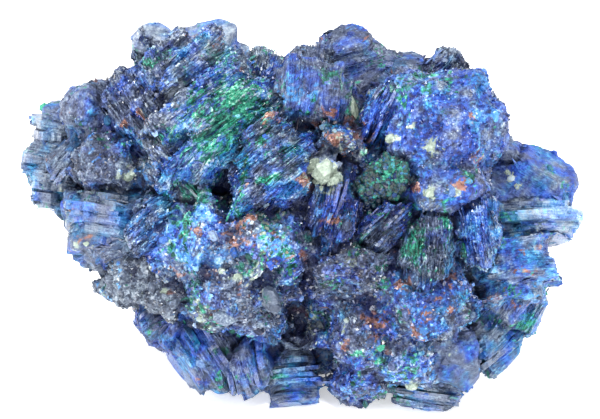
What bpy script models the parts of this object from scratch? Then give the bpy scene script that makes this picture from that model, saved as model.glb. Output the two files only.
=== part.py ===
"""Azurite specimen: a hand-sized nodule of crystal books grown into one another, as one closed solid.

Azurite grows here as "books": stacks of flat crystals that share one direction and fan out a little. The
books sit on a rounded heart and run into each other, so the whole specimen is one piece. Its show face leans
back from the upright, and everything on that face is laid out in the face's own directions: across it (to
the right), up it, and out of it towards a person looking at it. Lengths are in millimetres until they are
handed to Blender, which takes metres. The specimen rests on a flat broken patch at Z = 0.
"""

import math
import random
from collections import namedtuple

import bmesh
import bpy
from mathutils import Matrix, Vector, noise

MM = 0.001
NAME = "azurite_specimen"
SEED = 11

# The show face, and where its middle stands above the resting patch.
FACE_LEAN = math.radians(30.0)
FACE_MIDDLE = Vector((0.0, -1.2, 27.0))
ACROSS = Vector((1.0, 0.0, 0.0))
UP_FACE = Vector((0.0, math.sin(FACE_LEAN), math.cos(FACE_LEAN)))
OUT_OF_FACE = Vector((0.0, -math.cos(FACE_LEAN), math.sin(FACE_LEAN)))

# The heart that all books grow from: a rounded lump, half sizes across, up and out of the face.
HEART_HALF = Vector((34.0, 21.0, 19.0))
HEART_CENTRE = Vector((0.5, -0.5, -3.0))
HEART_ROUGHNESS = 2.2
HEART_SUBDIVISIONS = 3

# One crystal of a book: a flat plate with this many sides, narrower on one face than on the other. A plate
# is big when its page edge is at least BIG_PLATE long on each side of its middle.
PLATE_SIDES = 7
BIG_PLATE_SIDES = 9
BIG_PLATE = 8.5
PLATE_TAPER = 0.86
PLATE_OVERLAP = 1.12
EDGE_JITTER = 0.10
SHIFT_JITTER = 0.10
TURN_JITTER = math.radians(5.0)
BOOK_ROUNDING = 0.88

# half is the book's half size along its page edges, across the stack and out of the face. trace is the
# direction of the page edges in the face, dip tips the stack out of the face, and fan opens the pages.
Book = namedtuple("Book", "name centre half trace dip fan plates")
FRONT_BOOKS = (
    # The big rosette on the upper left: blades run down from both sides and meet in a point below.
    Book("crown", (-16.6, 16.0, 7.5), (11.4, 9.8, 11.5), 41, -8, 28, 8),
    Book("crown_flank", (-12.6, 8.8, 11.0), (11.4, 3.8, 8.0), 41, -25, 12, 5),
    Book("crown_left", (-23.0, 15.2, 5.0), (8.8, 5.2, 9.0), -54, 12, 22, 5),
    Book("crown_tip", (-20.6, 6.4, 9.5), (8.4, 3.0, 7.0), -50, -14, 12, 4),
    Book("crown_back", (-14.6, 22.6, -2.0), (7.6, 4.6, 6.5), 8, 26, 10, 3),
    Book("crown_corner", (-22.2, 24.4, -1.5), (4.4, 3.0, 5.0), -14, 20, 10, 2),
    # The left side, from the rim down to the thick curved plates.
    Book("cheek_blades", (-34.4, 8.6, 1.0), (5.0, 2.4, 6.0), 48, 0, 12, 3),
    Book("left_rim", (-37.2, 8.4, -6.0), (5.4, 7.8, 7.0), -6, 4, 16, 5),
    Book("left_plates", (-29.2, -1.4, 3.5), (7.2, 5.6, 8.0), -12, -12, 26, 4),
    Book("left_plates_low", (-25.6, -6.4, 2.5), (7.2, 3.0, 8.5), 10, -25, 14, 2),
    Book("waist", (-21.4, -1.6, 7.0), (5.6, 4.2, 7.5), 38, -10, 20, 3),
    # The dark feet of curved blades under the left side.
    Book("foot_outer", (-19.6, -15.0, -1.0), (5.6, 4.8, 8.0), 30, -20, 30, 4),
    Book("foot_fan", (-13.4, -19.8, -2.0), (7.4, 5.6, 8.0), -56, 0, 40, 5),
    Book("foot_inner", (-8.4, -22.6, -1.5), (6.0, 4.2, 7.5), -78, 5, 24, 3),
    Book("foot_middle", (-1.6, -25.0, -3.5), (5.2, 4.2, 6.5), 4, -10, 14, 3),
    # The middle of the face.
    Book("page_block", (-4.0, 7.2, 12.5), (7.4, 6.4, 9.0), 37, -6, 18, 5),
    Book("page_block_toe", (-6.6, 1.6, 13.5), (6.2, 2.6, 7.0), 33, -30, 8, 2),
    Book("column_block", (1.0, 17.4, 6.5), (6.2, 6.6, 9.0), 82, 4, 18, 6),
    Book("slope_left", (-14.5, -3.6, 9.5), (7.4, 6.8, 9.5), 48, -12, 24, 4),
    Book("slope_middle", (-5.0, -5.0, 11.0), (7.0, 6.3, 9.0), 30, 0, 20, 4),
    Book("heart_upper", (5.0, 0.6, 13.0), (6.2, 4.2, 8.0), 76, 5, 20, 4),
    Book("heart_blades", (12.2, -1.6, 12.5), (6.2, 3.0, 7.5), 46, -5, 14, 4),
    # The right side: streaked band beside the dome, upright blades below it and the wing with its ledges.
    Book("dome_left", (12.2, 14.2, 7.0), (7.0, 3.2, 8.0), 64, -4, 12, 4),
    Book("blades_upright", (25.4, -1.8, 10.0), (7.0, 3.8, 8.0), -80, 4, 16, 5),
    Book("blades_inner", (18.4, -5.4, 12.0), (7.4, 4.2, 8.5), 84, 6, 18, 4),
    Book("wing", (33.2, 3.6, -1.5), (8.6, 5.4, 8.0), -30, 18, 10, 2),
    Book("wing_ledge", (34.8, -0.8, 0.5), (8.0, 3.4, 8.5), 2, -6, 8, 4),
    Book("wing_root", (31.4, -7.6, 3.0), (7.6, 6.2, 9.0), 8, -10, 14, 4),
    Book("wing_hem", (31.6, -13.2, -1.5), (6.0, 4.8, 8.5), 60, 0, 16, 3),
    # The lens of smooth plates at the lower right, and the feet under it.
    Book("lens_right", (22.0, -21.4, 1.5), (6.2, 4.6, 8.0), -18, -10, 18, 3),
    Book("foot_right_outer", (27.4, -19.4, -2.0), (5.4, 4.8, 7.5), 40, 4, 20, 3),
    Book("foot_right_front", (18.6, -26.6, -4.0), (6.6, 3.0, 6.5), -10, 0, 10, 2),
    # The far edge at the top, seen over the face.
    Book("ridge", (7.8, 22.8, -6.0), (6.0, 4.8, 7.0), 10, 24, 10, 4),
    Book("ridge_columns", (2.2, 22.0, -6.0), (4.6, 3.8, 6.0), 84, 0, 12, 3),
    Book("ridge_right", (15.4, 19.4, -5.0), (5.4, 4.0, 6.5), -8, 20, 10, 2),
    Book("ridge_left", (-5.6, 21.6, -5.0), (4.2, 3.8, 5.5), 76, 0, 12, 2),
    Book("peak", (22.0, 20.2, -4.5), (4.8, 3.6, 5.0), 48, 10, 10, 2),
)

# Crumbly lumps whose pages are too fine to show: name, centre and half sizes in the face's directions, and
# how many times the sphere they start from is divided.
Lump = namedtuple("Lump", "name centre half divided")
FRONT_LUMPS = (
    Lump("cheek_upper", (-30.4, 15.2, 2.5), (6.2, 5.2, 7.5), 2),
    Lump("cheek_lower", (-28.6, 8.0, 6.0), (6.4, 5.4, 8.0), 2),
    Lump("ash_outer", (-25.0, -10.6, 1.5), (5.8, 4.2, 7.5), 2),
    Lump("ash_inner", (-19.2, -12.2, 5.0), (5.4, 4.4, 7.0), 2),
    Lump("slope_low", (-10.2, -12.0, 8.0), (9.0, 5.8, 9.0), 2),
    Lump("dome", (19.8, 11.8, 8.0), (10.8, 10.2, 12.0), 3),
    Lump("dome_chin", (20.6, 3.4, 12.0), (7.0, 5.2, 7.5), 2),
    Lump("dome_right", (25.6, 12.4, 1.0), (6.0, 7.6, 8.5), 2),
    Lump("heart_lower", (7.2, -7.6, 11.5), (7.0, 4.6, 8.5), 2),
    Lump("apron", (17.4, -13.2, 8.0), (9.0, 6.8, 9.5), 3),
    Lump("apron_left", (8.8, -16.6, 5.0), (5.8, 6.6, 9.0), 2),
    Lump("foot_right_inner", (9.0, -24.6, -2.0), (5.4, 4.8, 7.5), 2),
    Lump("foot_right", (16.0, -20.6, 3.0), (6.2, 5.6, 8.5), 2),
    Lump("green_nodule", (11.0, 3.8, 15.0), (3.6, 2.9, 5.0), 2),
    Lump("green_nodule_top", (13.6, 6.4, 14.5), (3.4, 2.6, 5.0), 2),
    Lump("green_nodule_low", (9.0, 2.4, 14.8), (2.8, 2.5, 5.0), 2),
    Lump("pale_lump", (3.5, 6.2, 15.6), (2.9, 2.2, 3.6), 2),
    Lump("gap_floor", (4.6, 10.8, 10.0), (5.0, 2.8, 6.0), 2),
    Lump("grey_crystal", (-4.6, -12.8, 14.2), (1.7, 2.2, 3.2), 1),
    Lump("hollow_floor", (9.6, 10.2, 8.5), (3.4, 3.6, 5.0), 2),
)
LUMP_ROUGHNESS = 0.22
FINE_ROUGHNESS = 0.22
HOLLOW_ROUGHNESS = 0.55

# The rear of the heart carries books laid by a spiral, so that they cover it evenly.
REAR_BOOKS = 13
REAR_SINK = 0.90
GOLDEN_ANGLE = math.pi * (3.0 - math.sqrt(5.0))
REAR_FIRST = 0.24
REAR_LAST = 0.98
REAR_HALF = (7.4, 5.6, 6.2)
REAR_PLATES = 3

# Lumps under the rear, which the flat break cuts through so that the specimen stands: the place of each
# centre over the patch, and half sizes to the right, to the rear and up.
Footing = namedtuple("Footing", "name centre half divided")
FOOTINGS = (
    Footing("footing_left", (-19.0, 6.2, 5.0), (9.0, 8.0, 7.5), 1),
    Footing("footing_rear_left", (-7.0, 11.7, 4.5), (9.0, 7.5, 7.0), 1),
    Footing("footing_rear_right", (8.0, 11.2, 4.5), (9.0, 7.5, 7.0), 1),
    Footing("footing_right", (20.5, 5.7, 5.0), (8.5, 8.0, 7.5), 1),
    Footing("footing_middle", (1.0, -0.8, 3.5), (11.0, 8.0, 6.0), 1),
)

# Hollows between the books: centre, half sizes and turn in the face.
Hollow = namedtuple("Hollow", "name centre half turn")
HOLLOWS = (
    Hollow("crevice", (-11.4, 3.4, 15.0), (1.9, 4.6, 9.0), -8),
    Hollow("cave", (0.4, -17.6, 9.0), (4.0, 5.2, 10.0), -6),
    Hollow("brown_hollow", (10.6, 10.6, 17.0), (2.2, 3.6, 7.5), 24),
    Hollow("cheek_pit", (-23.8, 8.2, 14.0), (1.7, 2.6, 6.0), 30),
)

# Boolean leftovers shorter than this are closed up.
SHORT_EDGE = 0.01 * MM

DEEP_BLUE = (0.045, 0.075, 0.32, 1.0)
MATERIAL_ROUGHNESS = 0.42


def clear_scene():
    """Remove every object, so that only the specimen is left."""
    for obj in list(bpy.data.objects):
        bpy.data.objects.remove(obj)


def in_face(across, up, out):
    """A direction or length given in the face's directions, as a vector in the part's frame."""
    return ACROSS * across + UP_FACE * up + OUT_OF_FACE * out


def face_point(point):
    """A place given in the face's directions, as a place in the part's frame."""
    return FACE_MIDDLE + in_face(*point)


def add_object(name, mesh_data, collection):
    """Turn a bmesh in millimetres into a named object in metres."""
    mesh_data.transform(Matrix.Scale(MM, 4))
    mesh = bpy.data.meshes.new(name)
    mesh_data.to_mesh(mesh)
    mesh_data.free()
    obj = bpy.data.objects.new(name, mesh)
    collection.objects.link(obj)
    return obj


def make_lump(name, centre, half, axes, roughness, divided, collection):
    """A rounded lump: a sphere stretched along three axes and dented by wide and by narrow noise."""
    lump = bmesh.new()
    bmesh.ops.create_icosphere(lump, subdivisions=divided, radius=1.0)
    for vertex in lump.verts:
        dent = 1.0 + roughness * noise.noise(vertex.co * 1.9 + centre * 0.37)
        dent += FINE_ROUGHNESS * noise.noise(vertex.co * 5.3 - centre * 0.53)
        along = vertex.co * dent
        vertex.co = centre + axes[0] * (along.x * half[0])
        vertex.co += axes[1] * (along.y * half[1]) + axes[2] * (along.z * half[2])
    return add_object(name, lump, collection)


def make_plate(name, centre, edge, stack, depth, half, thickness, random_source, collection):
    """One flat crystal: a many-sided plate, tapered through its thickness, with an uneven rim."""
    plate = bmesh.new()
    sides = BIG_PLATE_SIDES if half[0] >= BIG_PLATE else PLATE_SIDES
    narrow_first = random_source.random() < 0.5
    bmesh.ops.create_cone(
        plate,
        cap_ends=True,
        segments=sides,
        radius1=PLATE_TAPER if narrow_first else 1.0,
        radius2=1.0 if narrow_first else PLATE_TAPER,
        depth=1.0,
    )
    rim = [1.0 + random_source.uniform(-EDGE_JITTER, EDGE_JITTER) for _ in range(sides)]
    turn = random_source.uniform(0.0, 2.0 * math.pi / sides)
    for vertex in plate.verts:
        angle = math.atan2(vertex.co.y, vertex.co.x)
        side = round(angle / (2.0 * math.pi) * sides) % sides
        radius = math.hypot(vertex.co.x, vertex.co.y) * rim[side]
        along = radius * math.cos(angle + turn) * half[0]
        deep = radius * math.sin(angle + turn) * half[1]
        vertex.co = centre + edge * along + depth * deep + stack * (vertex.co.z * thickness)
    bmesh.ops.recalc_face_normals(plate, faces=plate.faces)
    return add_object(name, plate, collection)


def make_book(book, centre, axes, random_source, collection):
    """A stack of plates along axes[1], each shifted and turned a little, smaller towards both ends."""
    edge, stack, depth = axes
    along_half, stack_half, depth_half = book.half
    step = 2.0 * stack_half / book.plates
    for index in range(book.plates):
        share = (index + 0.5) / book.plates * 2.0 - 1.0
        size = math.sqrt(1.0 - (BOOK_ROUNDING * share) ** 2)
        fan = Matrix.Rotation(math.radians(book.fan) * 0.5 * share, 3, edge)
        turned = Matrix.Rotation(random_source.uniform(-TURN_JITTER, TURN_JITTER), 3, depth) @ fan
        shift = edge * (random_source.uniform(-SHIFT_JITTER, SHIFT_JITTER) * along_half)
        shift += depth * (random_source.uniform(-SHIFT_JITTER, SHIFT_JITTER) * depth_half)
        make_plate(
            f"{book.name}_{index}",
            centre + stack * (share * stack_half) + shift,
            turned @ edge,
            turned @ stack,
            turned @ depth,
            (along_half * size, depth_half * size),
            step * PLATE_OVERLAP,
            random_source,
            collection,
        )


def book_axes(trace, dip):
    """The page-edge, stack and depth directions of a book on the face."""
    turn = math.radians(trace)
    tip = math.radians(dip)
    edge = in_face(math.cos(turn), math.sin(turn), 0.0)
    flat_stack = in_face(-math.sin(turn), math.cos(turn), 0.0)
    stack = flat_stack * math.cos(tip) + OUT_OF_FACE * math.sin(tip)
    return edge, stack, edge.cross(stack)


def make_front(random_source, collection):
    """The books and lumps of the show face."""
    for book in FRONT_BOOKS:
        make_book(book, face_point(book.centre), book_axes(book.trace, book.dip), random_source, collection)
    for lump in FRONT_LUMPS:
        axes = (ACROSS, UP_FACE, OUT_OF_FACE)
        centre = face_point(lump.centre)
        make_lump(lump.name, centre, lump.half, axes, LUMP_ROUGHNESS, lump.divided, collection)


def make_rear(random_source, collection):
    """Books on a spiral over the rear of the heart, each with its own page direction."""
    heart = face_point(HEART_CENTRE)
    for index in range(REAR_BOOKS):
        inward = REAR_FIRST + (index + 0.5) / REAR_BOOKS * (REAR_LAST - REAR_FIRST)
        ring = math.sqrt(1.0 - inward**2)
        angle = index * GOLDEN_ANGLE
        outward = in_face(
            ring * math.cos(angle) * HEART_HALF.x,
            ring * math.sin(angle) * HEART_HALF.y,
            -inward * HEART_HALF.z,
        )
        depth = outward.normalized()
        edge = depth.cross(in_face(math.cos(2.3 * index), math.sin(2.3 * index), 0.3)).normalized()
        stack = depth.cross(edge)
        size = random_source.uniform(0.85, 1.2)
        half = [length * size for length in REAR_HALF]
        book = Book(f"rear_{index:02d}", None, half, 0, 0, random_source.uniform(10, 28), REAR_PLATES)
        make_book(book, heart + outward * REAR_SINK, (edge, stack, depth), random_source, collection)


def make_footings(collection):
    """The lumps under the rear that carry it."""
    for footing in FOOTINGS:
        make_lump(
            footing.name,
            Vector(footing.centre),
            footing.half,
            (Vector((1.0, 0.0, 0.0)), Vector((0.0, 1.0, 0.0)), Vector((0.0, 0.0, 1.0))),
            LUMP_ROUGHNESS,
            footing.divided,
            collection,
        )


def make_cutters(collection):
    """Wedge-shaped solids that open the hollows, and a block that breaks the base off flat."""
    for hollow in HOLLOWS:
        turn = math.radians(hollow.turn)
        axes = (
            in_face(math.cos(turn), math.sin(turn), 0.0),
            in_face(-math.sin(turn), math.cos(turn), 0.0),
            OUT_OF_FACE,
        )
        make_lump(hollow.name, face_point(hollow.centre), hollow.half, axes, HOLLOW_ROUGHNESS, 2, collection)
    base = bmesh.new()
    bmesh.ops.create_cube(base, size=1.0)
    bmesh.ops.scale(base, vec=(200.0, 200.0, 60.0), verts=base.verts)
    bmesh.ops.translate(base, vec=(0.0, 0.0, -30.0), verts=base.verts)
    add_object("base_break", base, collection)
    for cutter in collection.objects:
        cutter.hide_render = True
        cutter.display_type = "WIRE"


def combined(obj, operation, collection):
    """The object's mesh after a Boolean with every object of a collection."""
    modifier = obj.modifiers.new(operation.lower(), "BOOLEAN")
    modifier.operation = operation
    modifier.operand_type = "COLLECTION"
    modifier.collection = collection
    modifier.solver = "EXACT"
    graph = bpy.context.evaluated_depsgraph_get()
    mesh = bpy.data.meshes.new_from_object(obj.evaluated_get(graph))
    obj.modifiers.remove(modifier)
    obj.data = mesh


def keep_outer_shell(obj):
    """Drop the small closed shells that a union leaves where books shut in a space between them."""
    shell = bmesh.new()
    shell.from_mesh(obj.data)
    bmesh.ops.triangulate(shell, faces=shell.faces)
    islands = []
    left = set(shell.verts)
    while left:
        start = left.pop()
        island, edge_of_island = {start}, [start]
        while edge_of_island:
            vertex = edge_of_island.pop()
            for link in vertex.link_edges:
                other = link.other_vert(vertex)
                if other in left:
                    left.remove(other)
                    island.add(other)
                    edge_of_island.append(other)
        islands.append(island)
    largest = max(islands, key=len)
    spare = [vertex for island in islands if island is not largest for vertex in island]
    bmesh.ops.delete(shell, geom=spare, context="VERTS")
    shell.to_mesh(obj.data)
    shell.free()


def close_short_edges(obj):
    """Merge the ends of edges too short to see, wherever that keeps the surface closed."""
    shell = bmesh.new()
    shell.from_mesh(obj.data)
    while True:
        for edge in shell.edges:
            if edge.calc_length() > SHORT_EDGE:
                continue
            first, second = edge.verts
            around_first = {link.other_vert(first) for link in first.link_edges}
            around_second = {link.other_vert(second) for link in second.link_edges}
            if len(around_first & around_second) == 2:
                bmesh.ops.weld_verts(shell, targetmap={second: first})
                break
        else:
            break
    shell.to_mesh(obj.data)
    shell.free()


def make_material():
    """Deep blue, half dull, half glassy."""
    material = bpy.data.materials.new("azurite")
    material.use_nodes = True
    shader = material.node_tree.nodes["Principled BSDF"]
    shader.inputs["Base Color"].default_value = DEEP_BLUE
    shader.inputs["Roughness"].default_value = MATERIAL_ROUGHNESS
    shader.inputs["Metallic"].default_value = 0.0
    return material


def main():
    """Build the specimen: heart, books, union, hollows and base."""
    clear_scene()
    random_source = random.Random(SEED)
    specimen = bpy.data.collections.new("azurite_specimen")
    books = bpy.data.collections.new("books")
    cutters = bpy.data.collections.new("cutters")
    for collection in (specimen, books, cutters):
        bpy.context.scene.collection.children.link(collection)
    roughness = HEART_ROUGHNESS / HEART_HALF.z
    axes = (ACROSS, UP_FACE, OUT_OF_FACE)
    heart = make_lump(
        NAME, face_point(HEART_CENTRE), HEART_HALF, axes, roughness, HEART_SUBDIVISIONS, specimen
    )
    make_front(random_source, books)
    make_rear(random_source, books)
    make_footings(books)
    make_cutters(cutters)
    combined(heart, "UNION", books)
    combined(heart, "DIFFERENCE", cutters)
    keep_outer_shell(heart)
    close_short_edges(heart)
    heart.data.materials.clear()
    heart.data.materials.append(make_material())
    for obj in list(books.objects):
        bpy.data.objects.remove(obj)
    bpy.data.collections.remove(books)


main()
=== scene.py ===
# %% [markdown]
# # An azurite specimen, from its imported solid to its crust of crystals
# Azurite is a deep blue copper carbonate. On this specimen it grew as "books", stacks of thin pages that
# share a direction, and as crumbly lumps, and all of them carry a crust of very small crystals called
# druse. Green malachite, rusty limonite and pale clay sit in the gaps. The solid already has the books and
# lumps. This lesson adds what is finer: broken page edges, the crust and the colours of the minerals.

# %% Load the solid
import itertools
import math

import bmesh
import bpy
import numpy as np
from mathutils import Matrix, Vector
from mathutils.bvhtree import BVHTree
from mathutils.kdtree import KDTree


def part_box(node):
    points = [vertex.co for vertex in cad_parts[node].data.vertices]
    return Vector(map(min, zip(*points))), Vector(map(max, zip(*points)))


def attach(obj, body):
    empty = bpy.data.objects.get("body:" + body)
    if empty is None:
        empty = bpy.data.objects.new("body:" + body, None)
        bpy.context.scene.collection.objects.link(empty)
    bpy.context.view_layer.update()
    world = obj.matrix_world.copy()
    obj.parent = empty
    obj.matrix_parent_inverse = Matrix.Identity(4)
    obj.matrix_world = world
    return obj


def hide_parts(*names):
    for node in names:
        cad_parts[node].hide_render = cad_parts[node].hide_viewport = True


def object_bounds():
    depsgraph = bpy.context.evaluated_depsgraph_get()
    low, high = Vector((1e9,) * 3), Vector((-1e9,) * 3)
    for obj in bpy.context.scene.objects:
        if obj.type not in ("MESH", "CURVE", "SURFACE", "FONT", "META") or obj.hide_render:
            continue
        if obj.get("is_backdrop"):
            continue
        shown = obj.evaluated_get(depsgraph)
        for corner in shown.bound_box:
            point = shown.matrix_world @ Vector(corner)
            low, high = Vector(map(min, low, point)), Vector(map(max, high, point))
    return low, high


MM = 0.001
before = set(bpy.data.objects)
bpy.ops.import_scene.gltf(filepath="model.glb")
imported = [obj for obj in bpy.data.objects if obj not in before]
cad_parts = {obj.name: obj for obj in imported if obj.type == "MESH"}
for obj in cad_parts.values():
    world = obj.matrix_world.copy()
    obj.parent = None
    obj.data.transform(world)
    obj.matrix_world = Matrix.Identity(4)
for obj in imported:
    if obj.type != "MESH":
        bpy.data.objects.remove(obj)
cad_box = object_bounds()
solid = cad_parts["azurite_specimen"]
box_low, box_high = [np.array(corner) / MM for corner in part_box("azurite_specimen")]
print("solid:", len(solid.data.polygons), "faces,", (box_high - box_low).round(1), "mm")

# %% [markdown]
# ## The show face
# The best side of the specimen leans back 30 degrees. Places on that side are given across it, up it and
# out of it, in millimetres, because that is how a maker would point at them. The frame's own X, Y and Z
# would do as well, but nobody could check them by eye.

# %% Directions of the show face
FACE_LEAN = math.radians(30.0)
FACE_MIDDLE = np.array([0.0, -1.2, 27.0])
ACROSS = np.array([1.0, 0.0, 0.0])
UP_FACE = np.array([0.0, math.sin(FACE_LEAN), math.cos(FACE_LEAN)])
OUT_OF_FACE = np.array([0.0, -math.cos(FACE_LEAN), math.sin(FACE_LEAN)])
FACE_AXES = np.array([ACROSS, UP_FACE, OUT_OF_FACE])


def face_point(across, up, out):
    """A place given in the face's directions, as a place in the frame, in millimetres."""
    return FACE_MIDDLE + np.array([across, up, out]) @ FACE_AXES


def unit(vectors):
    """The same directions with a length of one."""
    return vectors / np.maximum(np.linalg.norm(vectors, axis=-1, keepdims=True), 1e-9)


print("out of the face:", OUT_OF_FACE.round(3))

# %% [markdown]
# ## Camera
# The camera looks straight at the show face from a little less than half a metre with a long lens, which is
# how small minerals are usually shown: a long lens keeps the near and far parts at their true sizes.

# %% Camera
SENSOR_MM = 36.0
LENS_MM = 180.0
PICTURE_WIDTH_MM = 90.2
AIM = face_point(-0.3, 0.53, 0.0)
CAMERA_DISTANCE = PICTURE_WIDTH_MM * LENS_MM / SENSOR_MM

lens = bpy.data.cameras.new("camera")
lens.sensor_width = SENSOR_MM
lens.lens = LENS_MM
lens.clip_start = 0.01
camera = bpy.data.objects.new("camera", lens)
bpy.context.scene.collection.objects.link(camera)
camera_place = AIM + OUT_OF_FACE * CAMERA_DISTANCE
turned = [[*row, place * MM] for row, place in zip(FACE_AXES.T.tolist(), camera_place)]
camera.matrix_world = Matrix([*turned, [0, 0, 0, 1]])
bpy.context.scene.camera = camera
print("camera:", camera_place.round(0), "mm")


def sight_line(across, up):
    """The direction from the camera to a place that is given across and up the show face."""
    return unit(face_point(across, up, 0.0) - camera_place)


# %% [markdown]
# ## Noise that works on many points at once
# Blender has noise for one point at a time. The crust has hundreds of thousands of points, so a small
# function gives smooth noise for a whole array. It hashes the corners of a grid and blends between them,
# which is what most noise does inside. A second function finds the nearest of scattered seeds, which makes
# grains.

# %% Noise for arrays
HASH_PRIMES = np.array([73856093, 19349663, 83492791], dtype=np.int64)
# how far one more on the seed moves the grid, so that no two patterns lie on each other
CLOUD_SHIFT, GRAIN_SHIFT = 3.17, 1.73


def cells(points, size):
    """The cell of a grid that each point lies in, as three whole numbers."""
    return np.floor(points / size).astype(np.int64)


def hashed(cell, seed):
    """A number from 0 to 1 for each grid cell, always the same for the same cell and seed."""
    mixed = (cell * HASH_PRIMES).sum(axis=-1) + seed * 2654435761
    mixed = (mixed ^ (mixed >> 15)) * 2246822519 & 0xFFFFFFFF
    mixed = (mixed ^ (mixed >> 13)) * 3266489917 & 0xFFFFFFFF
    return ((mixed ^ (mixed >> 16)) & 0xFFFFFF) / 0xFFFFFF


def cloud(points, size, seed):
    """Smooth noise from -1 to 1 with blobs about size millimetres across."""
    grid = points / size + seed * CLOUD_SHIFT
    cell = np.floor(grid).astype(np.int64)
    part = grid - cell
    part = part * part * (3.0 - 2.0 * part)
    total = np.zeros(len(points))
    for corner in itertools.product((0, 1), repeat=3):
        share = np.prod(np.where(np.array(corner) == 1, part, 1.0 - part), axis=1)
        total += share * hashed(cell + np.array(corner), seed)
    return total * 2.0 - 1.0


def grains(points, size, seed):
    """Rounded grains about size across: 1 in a grain's middle, 0 at the furthest corner between grains."""
    grid = points / size + seed * GRAIN_SHIFT
    cell = np.floor(grid).astype(np.int64)
    nearest = np.full(len(points), 9.0)
    for offset in itertools.product((-1, 0, 1), repeat=3):
        neighbour = cell + np.array(offset)
        seeds = np.stack([hashed(neighbour, seed + axis) for axis in range(3)], axis=1)
        away = np.linalg.norm(neighbour + seeds - grid, axis=1)
        nearest = np.minimum(nearest, away)
    return np.clip(1.0 - nearest, 0.0, 1.0)


trial = np.random.default_rng(1).random((2000, 3)) * 40.0
print("cloud:", cloud(trial, 5.0, 1).std().round(2), "spread; grains:", grains(trial, 2.0, 1).mean().round(2))

# %% [markdown]
# ## Where each book and lump is, and how its pages lie
# The solid doesn't say which of its faces belongs to which book, so a table gives each growth's middle, its
# half sizes and the way its pages run. It is nearly the table that the solid was built from. Every point of
# the surface then asks which growth is nearest, and takes its page direction from it. Three words say how
# bright its blue is, how far it has weathered to grey and how much a film of malachite turns it teal. Each
# word is a step on a short scale, because an eye can't judge such things more finely than that.

# %% Scales for the looks of a growth
# brightness is partly a growth's own tone, partly painted light and shade: it makes up for how lit it is
BRIGHTNESS = {
    "darkest": -0.35, "dark": 0.1, "deep": 0.3, "middle": 0.45, "clear": 0.55, "bright": 0.65, "light": 0.8,
}
WEATHERING = {"clean": 0.05, "dusty": 0.3, "hazy": 0.5, "dull": 0.75, "grey": 0.95, "ashen": 1.1}
TEAL_FILM = {"bare": 0.0, "trace": 0.2, "thin": 0.45, "film": 0.7}
print(len(BRIGHTNESS), "steps of brightness,", len(WEATHERING), "of weathering,", len(TEAL_FILM), "of film")

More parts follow.
